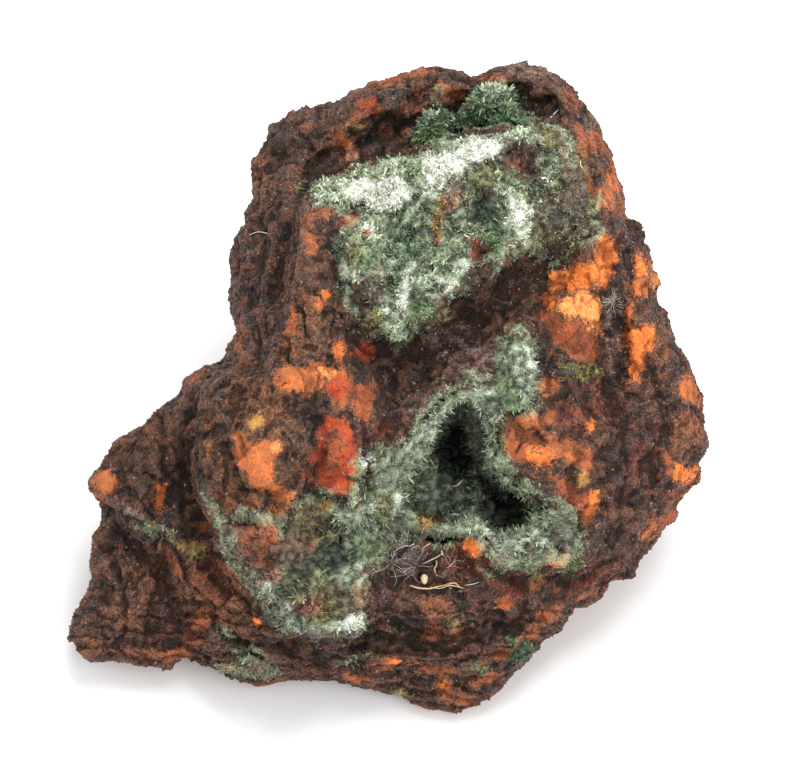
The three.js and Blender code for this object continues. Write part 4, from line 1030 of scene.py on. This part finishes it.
FRINGE = 3.0  # how far green dust spreads from the crusts
CRUST_TREE = tree_of(["upper_crust", "vug_crust", "rear_cluster"])
CRUST_TINTS = UPPER_TINTS + REAR_TINTS + VUG_TINTS


def add_rock(material):
    """The rock, handed back for what lies on it."""
    points, triangles = rock_shape()
    normals = broad_normals(points, triangles, 12)
    paint = rock_paint(points, normals, relief_of(points, triangles))
    add_piece("gossan", points, triangles, material, ["gossan_matrix"], paint)
    tree = BVHTree.FromPolygons(points.tolist(), triangles.tolist())
    return SimpleNamespace(points=points, triangles=triangles, normals=normals, paint=paint, tree=tree)


# ---------------------------------------------------------------- crystals


def dice(seed):
    return np.random.default_rng(seed)


def fewer(count):
    return count // 1


def frames_about(directions, random):
    """Two directions across each given one, turned by chance."""
    first = unit(np.cross(directions, random.normal(size=directions.shape)))
    return first, np.cross(directions, first)


def prisms(feet, directions, lengths, widths, sides, flatness, seed):
    """Small pointed prisms: each has a ring at its foot, a ring near its top and a tip."""
    random = dice(seed)
    first, second = frames_about(directions, random)
    count = len(feet)
    points = np.empty((count, 2 * sides + 1, 3))
    tilt = random.uniform(0, 0.35, (count, 1))
    for k in range(sides):
        turn = 2 * math.pi * k / sides
        across = first * math.cos(turn) + second * math.sin(turn) * flatness
        low = feet - directions * (0.35 * lengths)[:, None]
        high = feet + directions * (lengths * (0.72 + 0.12 * math.cos(turn)))[:, None]
        points[:, k] = low + across * (0.42 * widths)[:, None]
        points[:, sides + k] = high + across * (0.4 * widths)[:, None]
    points[:, 2 * sides] = feet + directions * lengths[:, None] + first * tilt * widths[:, None]
    pattern = []
    for k in range(sides):
        other = (k + 1) % sides
        pattern += [(k, other, sides + other), (k, sides + other, sides + k)]
        pattern += [(sides + k, sides + other, 2 * sides)]
    pattern += [(0, k + 1, k) for k in range(1, sides - 1)]
    starts = (2 * sides + 1) * np.arange(count)
    triangles = (np.array(pattern)[None] + starts[:, None, None]).reshape(-1, 3)
    return points.reshape(-1, 3), triangles


def spikes(feet, directions, lengths, widths, seed):
    """Tiny three-sided points, for grain and dust."""
    random = dice(seed)
    first, second = frames_about(directions, random)
    points = np.empty((len(feet), 4, 3))
    for k in range(3):
        turn = 2 * math.pi * k / 3 + random.uniform(-0.4, 0.4, (len(feet), 1))
        across = first * np.cos(turn) + second * np.sin(turn)
        points[:, k] = feet - directions * (0.3 * lengths)[:, None] + across * (0.58 * widths)[:, None]
    points[:, 3] = feet + directions * lengths[:, None] + first * (0.2 * widths)[:, None]
    pattern = np.array([(0, 1, 3), (1, 2, 3), (2, 0, 3), (0, 2, 1)])
    triangles = (pattern[None] + 4 * np.arange(len(feet))[:, None, None]).reshape(-1, 3)
    return points.reshape(-1, 3), triangles


def scattered(points, triangles, count, seed, weights=None):
    """Places spread evenly over a mesh: their points, their triangles and the corners' shares in them."""
    random = dice(seed)
    a, b, c = (points[triangles[:, k]] for k in range(3))
    area = np.linalg.norm(np.cross(b - a, c - a), axis=1)
    if weights is not None:
        area = area * weights[triangles].mean(axis=1)
    picked = np.searchsorted(np.cumsum(area) / area.sum(), random.random(count))
    picked = np.minimum(picked, len(triangles) - 1)
    share = random.random((count, 2))
    over = share.sum(axis=1) > 1
    share[over] = 1 - share[over]
    share = np.column_stack([1 - share.sum(axis=1), share])
    return np.einsum("nk,nkj->nj", share, points[triangles[picked]]), picked, share


# The outlines of the crusts across the display face, where they thin out.
OUTLINES = {
    "upper_crust": [
        [
            (-8.4, 19.8), (-6.6, 21), (-4.1, 22.5), (-1.5, 22.7), (1.5, 22.7), (3.2, 23.8), (5.3, 25.1),
            (7.9, 25.5), (12.2, 25.3), (11.4, 23.9), (10.4, 23.2), (11, 21.6), (12.4, 20.6), (13.3, 18.8),
            (13.5, 16.4), (12.4, 14.8), (11, 14.2), (10.6, 12.4), (9.6, 12.2), (9, 13.6), (8.2, 13.2),
            (6.8, 11), (5, 9), (4, 7), (1.6, 6), (0.2, 4.8), (-1.6, 5.4), (-3.4, 7), (-4.8, 9.2),
            (-5.4, 12), (-5.8, 15), (-4, 16.6), (-3.4, 17.8), (-6, 18.4), (-8, 18.8),
        ],
        [
            (11.8, 25.6), (15.1, 26), (16.6, 25.1), (17.7, 22.7), (18.6, 19.8), (19.4, 18), (19, 15.9),
            (17.3, 13.3), (15.1, 12.5), (13.9, 13.3), (13.3, 15), (13.2, 19), (14.4, 20.8), (14.2, 23),
            (12.4, 24.2),
        ],
    ],
    "vug_crust": [
        [
            (11.3, 5.4), (13, 4.4), (13.4, 1.4), (12.6, -1.6), (10.4, -2), (9.4, -3.3), (9.2, -5.9),
            (9.8, -8), (11.3, -9.6), (13.4, -10.2), (16, -11), (17.9, -13.6), (17.3, -15.7), (14.7, -16.1),
            (12.6, -17), (10.4, -17.6), (8.9, -17), (9.2, -15.3), (7.5, -14.4), (4.5, -14.2), (1.9, -14.6),
            (-0.2, -14.9), (-1.5, -16.1), (-2.4, -17.4), (-4.1, -19.1), (-4.5, -21.3), (-3.7, -23.8),
            (-6.2, -24.3), (-9.2, -24.5), (-11.8, -23), (-13.9, -20.4), (-15.6, -17.9), (-17.1, -14.9),
            (-17.5, -12.5), (-15.2, -12.9), (-11.8, -14), (-10.1, -11.9), (-8.8, -10.6), (-6.6, -10.4),
            (-4.1, -9.9), (-3.4, -7.2), (-0.2, -5.8), (2.3, -3.6), (4, -1.4), (6.6, 0.4), (9.2, 1.6),
            (10.2, 3.5),
        ],
    ],
    "right_tuft": [[(14, 2.2), (17.4, 3), (19.8, 2.6), (20.2, 1.2), (18, 0.6), (15, 0.8)]],
    "lower_tuft": [[(14.8, -17), (16, -16.6), (18.8, -16.4), (18.6, -17.6), (16.8, -18.4), (15, -18)]],
    "edge_tuft": [[(10.8, -26), (12.6, -24.6), (13.6, -25.4), (13, -26.6), (11.8, -27.6), (10.6, -27)]],
    "ledge_tuft": [
        [
            (-26, -12.6), (-23, -13), (-20.4, -15.4), (-19.4, -17), (-20.8, -17.6), (-22.8, -15.2),
            (-25.8, -13.8),
        ],
    ],
    "base_tuft": [[(-18.6, -27.2), (-15, -26.2), (-11.8, -27), (-11.6, -28), (-14.8, -28.4), (-18, -28)]],
}

# Places where a crust is thin and rock shows between its crystals, in the same form as the stains, and
# places where its border stays whole.
THIN = [
    (16.8, 17.4, 2.6, 4.6, -12, CHOCOLATE, 0.85), (15, 14, 2, 2.2, 0, CHOCOLATE, 0.85),
    (16.6, 22.6, 1.4, 2.4, 0, BROWN, 0.55), (12.3, 22.6, 1.5, 1.8, 0, CHOCOLATE, 1),
    (13.6, 21.4, 0.5, 1.2, 0, RED_BROWN, 0.9), (8.6, 19.2, 0.5, 0.8, 0, CHOCOLATE, 0.8),
    (7.6, 13.6, 0.9, 1, 0, CHOCOLATE, 0.85), (-13.4, -15, 2.8, 2.2, 30, RUST, 0.7),
    (-10.6, -14.6, 2, 2, 0, BROWN, 0.6), (-8.6, -21, 1.6, 1.2, 0, UMBER, 0.6),
    (-8, -13, 1.8, 1.2, 0, BROWN, 0.5), (10.6, -5.6, 0.8, 3, 10, BROWN, 0.6),
    (16.6, -14, 1.6, 1.6, 0, CHOCOLATE, 0.55), (-6, 9, 1, 3, 0, BROWN, 0.5),
    (-22.8, -14.8, 3.6, 0.8, -38, UMBER, 0.66), (-20.4, -16.6, 1.2, 1, -50, BROWN, 0.7),
    (-15.4, -27.4, 3.2, 0.6, 0, UMBER, 0.66), (17.2, 1.4, 2.8, 0.8, 0, BROWN, 0.66),
    (16.8, -17.4, 1.8, 0.7, 0, MAROON, 0.6),
]
WHOLE = [
    (5.6, 24.4, 8, 2.4, 12, None, 1), (-6, 19.4, 3, 1.6, 0, None, 1), (5.4, -7.4, 8, 7.6, 0, None, 1),
    (11.6, 1, 2.4, 4, 0, None, 1),
]

BED_VOXEL = 0.33
BORDER_DROP = 1.9  # how far a crust's broken border is sunk into the rock
CLEAR_REACH = 0.9  # how far a place has to look into the open for a crystal to grow
CRUST_BREAK, TUFT_BREAK = 1.2, 0.7  # how far the broken border reaches into a crust and into a tuft


def eroded(node, points):
    """1 where a crust's border is broken away, 0 well inside its outline."""
    if node not in OUTLINES:
        return np.zeros(len(points))
    face = to_face(points)
    inside = np.max([signed_depth(face[:, 0], face[:, 1], outline) for outline in OUTLINES[node]], axis=0)
    patchy = 0.8 * layered_noise(face, 1.4, 331) + 0.6 * smooth_noise(face, 4, 341)
    reach = CRUST_BREAK if node.endswith("crust") else TUFT_BREAK
    kept = ramp(spots(face, WHOLE, 351).max(axis=1), 0.4, 0.7)
    return (1 - ramp(inside / reach + patchy, 0, 1)) * (1 - kept)


def thin_places(points):
    """How thin a crust is at each point, and the colour of the rock that shows there."""
    face = to_face(points)
    earth = np.where(layered_noise(points, 1.5, 361)[:, None] > 0, CHOCOLATE, BROWN)
    speckle = 0.45 * layered_noise(face, 0.9, 371)
    depth = spots(face, THIN, 381)
    thin = np.zeros(len(points))
    for k, spot in enumerate(THIN):
        share = ramp(depth[:, k] / spot[-1] + speckle, 0.3, 0.7)
        thin = np.maximum(thin, share * spot[-1])
        earth = mixed(earth, spot[-2], share[:, None])
    return thin, earth


def bed_shape(crust):
    """A crust's bed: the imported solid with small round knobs, its border sunk into the rock."""
    points, triangles = fine_mesh(crust.node, BED_VOXEL)
    normals = broad_normals(points, triangles, 4)
    large, value = grains(points, crust.knobs, crust.seed)
    small, _ = grains(points, 0.45 * crust.knobs, crust.seed + 3)
    height = 0.34 * crust.knobs * (ramp(large, 0, 0.5) - 0.55) * (0.6 + 0.8 * value)
    height += 0.14 * crust.knobs * (ramp(small, 0, 0.5) - 0.5)
    height *= 1 - 0.25 * thin_places(points)[0]
    height += 0.12 * layered_noise(points, 0.8, crust.seed + 6) - crust.sink
    gone = evened(eroded(crust.node, points), triangles, 10)
    points = points + normals * height[:, None] - FACE_AXES[2] * (BORDER_DROP * gone)[:, None]
    return above_floor(points), triangles


def open_places(places, normals, shield, reach):
    """Which places look into the open, and not into the rock just in front of them."""
    clear = np.ones(len(places), dtype=bool)
    for k, (place, normal) in enumerate(zip(places, normals)):
        hit = shield.ray_cast(Vector(place + 0.02 * normal), Vector(normal), reach)
        clear[k] = hit[0] is None
    return clear


# The mottling of every crust: size, where it starts, colour and its greatest share.
MOTTLES = [
    (1.3, 0.15, OLIVE, 0.6),
    (1, 0.15, GREY_BROWN, 0.6),
    (0.8, 0.15, DEEP_GREEN, 0.8),
    (1.1, 0.3, LEAF, 0.5),
    (0.7, 0.3, PALE_MINT, 0.7),
]


def tinted(crust, points, light, showing):
    """The colours of a crust's bed or crystals: mottled, with its spots, and dark where rock shows."""
    colour = np.tile(crust.base, (len(points), 1))
    for size, low, other, most in MOTTLES:
        mottling = layered_noise(points, size, crust.seed + 16 + int(10 * size))
        colour = mixed(colour, other, most * ramp(mottling, low, low + 0.3)[:, None])
    colour = laid(colour, to_face(points), crust.tints, crust.seed + 15)
    thin, earth = thin_places(points)
    bare = showing * np.maximum(thin, eroded(crust.node, points))[:, None]
    colour = mixed(colour, earth, bare)
    light = light * (1.05 + 0.5 * layered_noise(points, 0.8, crust.seed + 40))
    light = mixed(light, 1, 0.55 * ramp(colour[:, 2], 0.3, 0.7))
    return np.clip(colour * light[:, None], 0, 0.92)


def between(ends, count, random):
    """Chance values between two ends, small ones the most common."""
    return ends[0] + (ends[1] - ends[0]) * random.random(count) ** 2


def add_crust(crust, shield, material):
    """A crust's bed with its crystals, which grow only where they look into the open."""
    points, triangles = bed_shape(crust)
    normals = point_normals(points, triangles)
    count = fewer(crust.count)
    places, picked, share = scattered(points, triangles, count * 3, crust.seed + 11)
    at = unit(np.einsum("nk,nkj->nj", share, normals[triangles[picked]]))
    random = dice(crust.seed + 12)
    clear = open_places(places, at, shield, CLEAR_REACH)
    clear &= eroded(crust.node, places) < random.uniform(0.3, 1, len(places))
    places, at = places[clear][:count], at[clear][:count]

    lean = random.normal(size=places.shape) * crust.spread
    directions = unit(at + lean + crust.outward * FACE_AXES[2])
    swell = 0.7 + 0.6 * ramp(layered_noise(places, 2.2, crust.seed + 13), -0.5, 0.5)
    lengths = between(crust.length, len(places), random) * swell * (1 - 0.5 * thin_places(places)[0])
    widths = between(crust.width, len(places), random) * swell
    shape, faces = prisms(places, directions, lengths, widths, crust.sides, crust.flatness, crust.seed + 14)

    # painted shade and light: the bed is darker in its hollows and lighter on its knobs
    bed_tint = tinted(crust, points, crust.bright * (0.66 + 0.5 * relief_of(points, triangles)), 1)
    chance = random.random(len(places))
    # crystals with a chance above 0.84 are twice as bright, a painted sparkle; the others are darker or
    # lighter at random
    own = crust.bright * np.where(chance > 0.84, 2, np.where(chance < 0.2, 0.4, 0.75 + 0.6 * chance))
    crystal_tint = tinted(crust, places, own, random.random((len(places), 1)) < 0.6)
    crystal_tint = np.repeat(crystal_tint, 2 * crust.sides + 1, axis=0)
    add_piece(
        crust.node + "_crystals",
        np.concatenate([points, above_floor(shape)]),
        np.concatenate([triangles, faces + len(points)]),
        material,
        [crust.node],
        {"tint": with_alpha(np.concatenate([bed_tint, crystal_tint]))},
        rounded=len(triangles),
    )


GRAIN_COUNT = 43000
GRAIN_LENGTH = (0.06, 0.2)
GRAIN_WIDTH = (0.14, 0.36)
DUST_COUNT = 17000
DUST_LENGTH = (0.15, 0.4)
DUST_WIDTH = (0.12, 0.28)


def strewn(rock, count, weights, spread, seed):
    """Places strewn over the rock: points, directions and the corner nearby whose paint each takes."""
    places, picked, share = scattered(rock.points, rock.triangles, count, seed, weights)
    corners = rock.triangles[picked]
    directions = np.einsum("nk,nkj->nj", share, rock.normals[corners])
    random = dice(seed + 1)
    directions = unit(directions + random.normal(size=directions.shape) * spread)
    return places, directions, corners[:, 0], random


def add_grain(rock, material):
    """Tiny grains on the rock, with the rock's own paint under each of them."""
    count = fewer(GRAIN_COUNT)
    shown = 0.25 + ramp(rock.normals @ FACE_AXES[2], -0.2, 0.3)
    places, directions, under, random = strewn(rock, count, shown, 0.45, 900)
    lengths = random.uniform(*GRAIN_LENGTH, count)
    widths = random.uniform(*GRAIN_WIDTH, count)
    points, triangles = spikes(places, directions, lengths, widths, 902)
    paint = {key: np.repeat(values[under], 4, axis=0) for key, values in rock.paint.items()}
    # painted shade and highlight: each grain's foot reads as a hollow and its tip as a ridge, darker and
    # lighter
    paint["relief"] = paint["relief"] + np.tile([-0.3, -0.3, -0.3, 0.5], count)
    add_piece("gossan_grain", above_floor(points), triangles, material, (), paint, rounded=0)


def add_dust(rock, material):
    """Tiny green crystals strewn on the rock where the dust lies."""
    count = fewer(DUST_COUNT)
    dusty = ramp(rock.paint["dust_depth"], 0.3, 0.7) ** 2
    places, directions, under, random = strewn(rock, count, dusty, 0.5, 950)
    lengths = random.uniform(*DUST_LENGTH, count)
    widths = random.uniform(*DUST_WIDTH, count)
    points, triangles = spikes(places, directions, lengths, widths, 952)
    own = random.uniform(0.5, 1.5, (count, 1))
    tint = np.clip(rock.paint["dust"][under, :3] * own, 0, 0.9)
    paint = {"tint": with_alpha(np.repeat(tint, 4, axis=0))}
    add_piece("green_dust", above_floor(points), triangles, material, (), paint, rounded=0)


# Lint and straw caught on the rock: half thickness, colour and the path across the face, each point
# with how high the fibre stands off the rock there.
CREAM = rgb(226, 206, 170)
STRAW = rgb(206, 160, 118)
PALE_HAIR = rgb(222, 218, 214)
GREY_HAIR = rgb(140, 126, 126)
FIBRES = [
    (0.09, STRAW, [(2.1, -15.8, 0.1), (2.4, -15.4, 0.4), (2.9, -15.1, 0.6), (3.3, -15, 0.5),
                   (3.8, -15, 0.2)]),
    (0.07, CREAM, [(2.2, -17.2, 0.1), (3, -16.8, 0.4), (3.6, -16.5, 0.5), (4.2, -16.1, 0.6)]),
    (0.09, CREAM, [(4.1, -15.8, 0.7), (4.2, -16.2, 0.6), (4.3, -16.2, 0.5)]),
    (0.1, STRAW, [(3.6, -16.8, 0.4), (3.6, -17.3, 0.3), (3.4, -17.7, 0.2), (3.7, -18.4, 0)]),
    (0.04, PALE_HAIR, [(4.6, -17.6, 0.1), (5.1, -17.2, 0.3), (5.6, -16.6, 0.3)]),
    (0.08, CREAM, [(1, -19.3, 0.3), (1.6, -19.5, 0.4), (2.2, -19.6, 0.4), (3, -19.6, 0.4),
                   (3.7, -19.4, 0.5)]),
    (0.1, STRAW, [(3.4, -19.5, 0.4), (4.4, -19.3, 0.5), (5, -19.1, 0.5), (5.5, -19.1, 0.4),
                  (5.9, -19.5, 0.2)]),
    (0.05, CREAM, [(3, -19.5, 0.5), (4, -19.6, 0.3), (5, -19.3, 0.6), (6.3, -19.6, 0.1)]),
    (0.04, PALE_HAIR, [(6.4, -19.3, 0.1), (7.1, -19.2, 0.2), (7.8, -19, 0.1)]),
    (0.04, GREY_HAIR, [(0.9, -17.4, 0.3), (1, -17.9, 0.3), (0.2, -18.3, 0.2), (-1, -18.4, 0.1)]),
    (0.04, GREY_HAIR, [(1.2, -18, 0.3), (1.6, -18.8, 0.3), (2.1, -19.1, 0.2)]),
    (0.04, PALE_HAIR, [(-0.6, -15.9, 0.1), (0.2, -15.4, 0.3), (1, -15.3, 0.1)]),
    (0.05, WHITE, [(0.9, -15.4, 0.1), (1.2, -15.2, 0.2), (1.4, -15.1, 0.1)]),
    (0.14, CREAM, [(5.2, -9.6, 0), (5.7, -9.5, 0.2), (6, -9.2, 0.2), (6.3, -8.9, 0.1)]),
    (0.05, WHITE, [(6.4, -13, 0.1), (6.7, -12.5, 0.4), (6.8, -11.8, 0.3)]),
    (0.05, WHITE, [(6.9, -13.2, 0.1), (6.9, -12.6, 0.4), (6.7, -12, 0.3)]),
    (0.05, PALE_HAIR, [(14.3, 27, 0), (14.9, 27, 0.2), (15.2, 27.3, 0.3), (15.7, 27.8, 0.2),
                       (16.2, 28.1, 0)]),
    (0.05, WHITE, [(17.8, 22.7, 0.1), (17.7, 22.2, 0.2), (17.9, 21.8, 0.1)]),
    (0.04, PALE_HAIR, [(-15, 15.4, 0.1), (-14, 15.7, 0.2), (-12.8, 15.4, 0.1)]),
    (0.03, PALE_HAIR, [(-2, -6.4, 0.1), (-1.2, -6, 0.2), (-0.4, -6.2, 0.1)]),
]
HAIR_RADIUS = (0.008, 0.018)
HUSK_PLACE = (2.4, -18.7, 0.3)
HUSK_HALF_WIDTH, HUSK_HALF_HEIGHT = 0.36, 0.52
ABOVE = 60.0  # a height over the display face that is clear of everything

# Small tangles of fine hairs: the middle of each, its reach and how many.
TANGLES = [
    (21.1, 8.6, 1.7, 40),
    (21, 8.8, 0.7, 36),
    (-0.8, -17, 2.6, 16),
    (0.8, -15.6, 2, 14),
    (1.6, -17.4, 2.2, 16),
    (5, -17.4, 2, 14),
    (6.3, -5.2, 0.9, 8),
]


def ground(rock, x, y, lift):
    """The point of the specimen's surface seen at a place of the face, raised by a little."""
    start = Vector(to_row([x, y, ABOVE]))
    hits = (tree.ray_cast(start, Vector(-FACE_AXES[2])) for tree in (rock.tree, CRUST_TREE))
    reach = min(hit[3] for hit in hits if hit[0] is not None)
    return to_row([x, y, ABOVE - reach + lift])


def curve_through(corners, steps):
    """A smooth curve through the given points."""
    p = np.array([corners[0], *corners, corners[-1]])
    found = []
    for a, b, c, d in zip(p[:-3], p[1:-2], p[2:-1], p[3:]):
        square, cube = 2 * a - 5 * b + 4 * c - d, 3 * b - a - 3 * c + d
        found += [0.5 * (2 * b + (c - a) * t + square * t**2 + cube * t**3) for t in np.arange(steps) / steps]
    return np.array([*found, corners[-1]])


def walls(rows, around):
    """The triangles between rings of points, each ring with that many."""
    triangles = []
    for i in range(rows - 1):
        for j in range(around):
            a, b = around * i + j, around * i + (j + 1) % around
            triangles += [(a, b, b + around), (a, b + around, a + around)]
    return triangles


def tube(path, radius):
    """A fine four-sided fibre along a path, pointed at both ends."""
    along = unit(np.gradient(path, axis=0))
    side = np.cross(along, FACE_AXES[2])
    side /= np.maximum(np.linalg.norm(side, axis=1, keepdims=True), 1e-6)
    up = np.cross(side, along)
    thick = radius * np.sin(np.linspace(0.15, math.pi - 0.15, len(path)))[:, None] ** 0.4
    rings = np.stack([path + thick * across for across in (side, up, -side, -up)], axis=1)
    end = 4 * (len(path) - 1)
    ends = [(0, 2, 1), (0, 3, 2), (end, end + 1, end + 2), (end, end + 2, end + 3)]
    return rings.reshape(-1, 3), np.array(walls(len(path), 4) + ends)


def husk(middle, half_width, half_height):
    """A pale, flattened husk about its middle."""
    rows, around = 7, 10
    points = []
    for i in range(rows):
        height = math.pi * i / (rows - 1)
        ring = math.sin(height) + 0.02
        for j in range(around):
            turn = 2 * math.pi * j / around
            points.append(
                middle
                + FACE_AXES[0] * half_width * ring * math.cos(turn) * (1 + 0.12 * math.cos(height))
                + FACE_AXES[1] * half_height * math.cos(height)
                + FACE_AXES[2] * 0.6 * half_width * ring * math.sin(turn)
            )
    return np.array(points), np.array(walls(rows, around))


def hair(rock, tangle, random):
    """One fine hair of a tangle, running outwards from near its middle."""
    cx, cy, reach, _ = tangle
    turn = random.uniform(0, 2 * math.pi)
    near, far = random.uniform(0, 0.3) * reach, random.uniform(0.4, 1) * reach
    corners = []
    for share in (0, 0.35, 0.7, 1):
        out = near + (far - near) * share
        bend = turn + random.normal() * 0.12
        lift = 0.1 + 1.2 * share * (1 - share) * random.uniform(0.2, 1)
        corners.append(ground(rock, cx + out * math.cos(bend), cy + out * math.sin(bend), lift))
    colour = PALE_HAIR if random.random() < 0.6 else GREY_HAIR
    return *tube(curve_through(corners, 4), random.uniform(*HAIR_RADIUS)), colour


def add_lint(rock, material):
    """The fibres, the tangles of hair and one husk, joined in one piece."""
    parts = []
    for radius, colour, corners in FIBRES:
        path = curve_through([ground(rock, *corner) for corner in corners], 6)
        parts.append((*tube(path, radius), colour))
    random = dice(970)
    parts += [hair(rock, tangle, random) for tangle in TANGLES for _ in range(tangle[3])]
    parts.append((*husk(ground(rock, *HUSK_PLACE), HUSK_HALF_WIDTH, HUSK_HALF_HEIGHT), CREAM))
    starts = np.cumsum([0] + [len(points) for points, _, _ in parts])
    points = np.concatenate([points for points, _, _ in parts])
    triangles = np.concatenate([faces + start for (_, faces, _), start in zip(parts, starts)])
    tint = np.concatenate([np.tile(colour, (len(points), 1)) for points, _, colour in parts])
    add_piece("lint", points, triangles, material, (), {"tint": with_alpha(tint)})


def lint_material():
    """Dull fibres, a little straw-coloured in places."""
    t = Tree("lint")
    strawy = t.span(t.noise(0.3, 3), 0.4, 0.6, 0, 0.35)
    t.surface(t.mix(strawy, t.attribute("tint"), STRAW), 0.8, 1.4)
    return t.material


# ---------------------------------------------------------------- the specimen


def crust_look(node, slot, tints, base, **look):
    """How one crust looks: its spots, its base colour, its bed's knobs and its crystals."""
    usual = dict(sink=0.0, sides=3, flatness=1.0, spread=0.6, outward=0.3, bright=1.0)
    return SimpleNamespace(node=node, slot=slot, tints=tints, base=base, **{**usual, **look})


def tuft_look(node, base, seed):
    """How one of the small olive growths looks."""
    look = dict(knobs=0.9, sink=0.25, count=900, length=(0.12, 0.5), width=(0.1, 0.28))
    return crust_look(node, "olive_crystal", ROCK_DUST, base, seed=seed, **look)


CRUSTS = [
    crust_look("upper_crust", "pale_green_crystal", UPPER_TINTS, GREY_GREEN, knobs=1.5, count=11900,
               length=(0.2, 0.75), width=(0.12, 0.4), sides=4, flatness=0.6, bright=1.12, seed=500),
    crust_look("rear_cluster", "dark_green_crystal", REAR_TINTS, BOTTLE, knobs=1.5, count=6500,
               length=(0.3, 1), width=(0.16, 0.5), sides=4, flatness=0.35, outward=0.1, bright=1.1,
               seed=600),
    crust_look("vug_crust", "grey_green_crystal", VUG_TINTS, GREY_GREEN, knobs=1.3, count=13600,
               length=(0.2, 0.85), width=(0.08, 0.2), spread=0.5, bright=0.86, seed=700),
    tuft_look("right_tuft", OLIVE, 800),
    tuft_look("lower_tuft", LEAF, 820),
    tuft_look("edge_tuft", BOTTLE, 840),
    tuft_look("ledge_tuft", OLIVE, 860),
    tuft_look("base_tuft", GREY_GREEN, 880),
]

gossan = gossan_material()
green_crystal = crystal_material()
rock = add_rock(gossan)
for crust in CRUSTS:
    add_crust(crust, rock.tree, green_crystal)
add_grain(rock, gossan)
add_dust(rock, green_crystal)
add_lint(rock, lint_material())
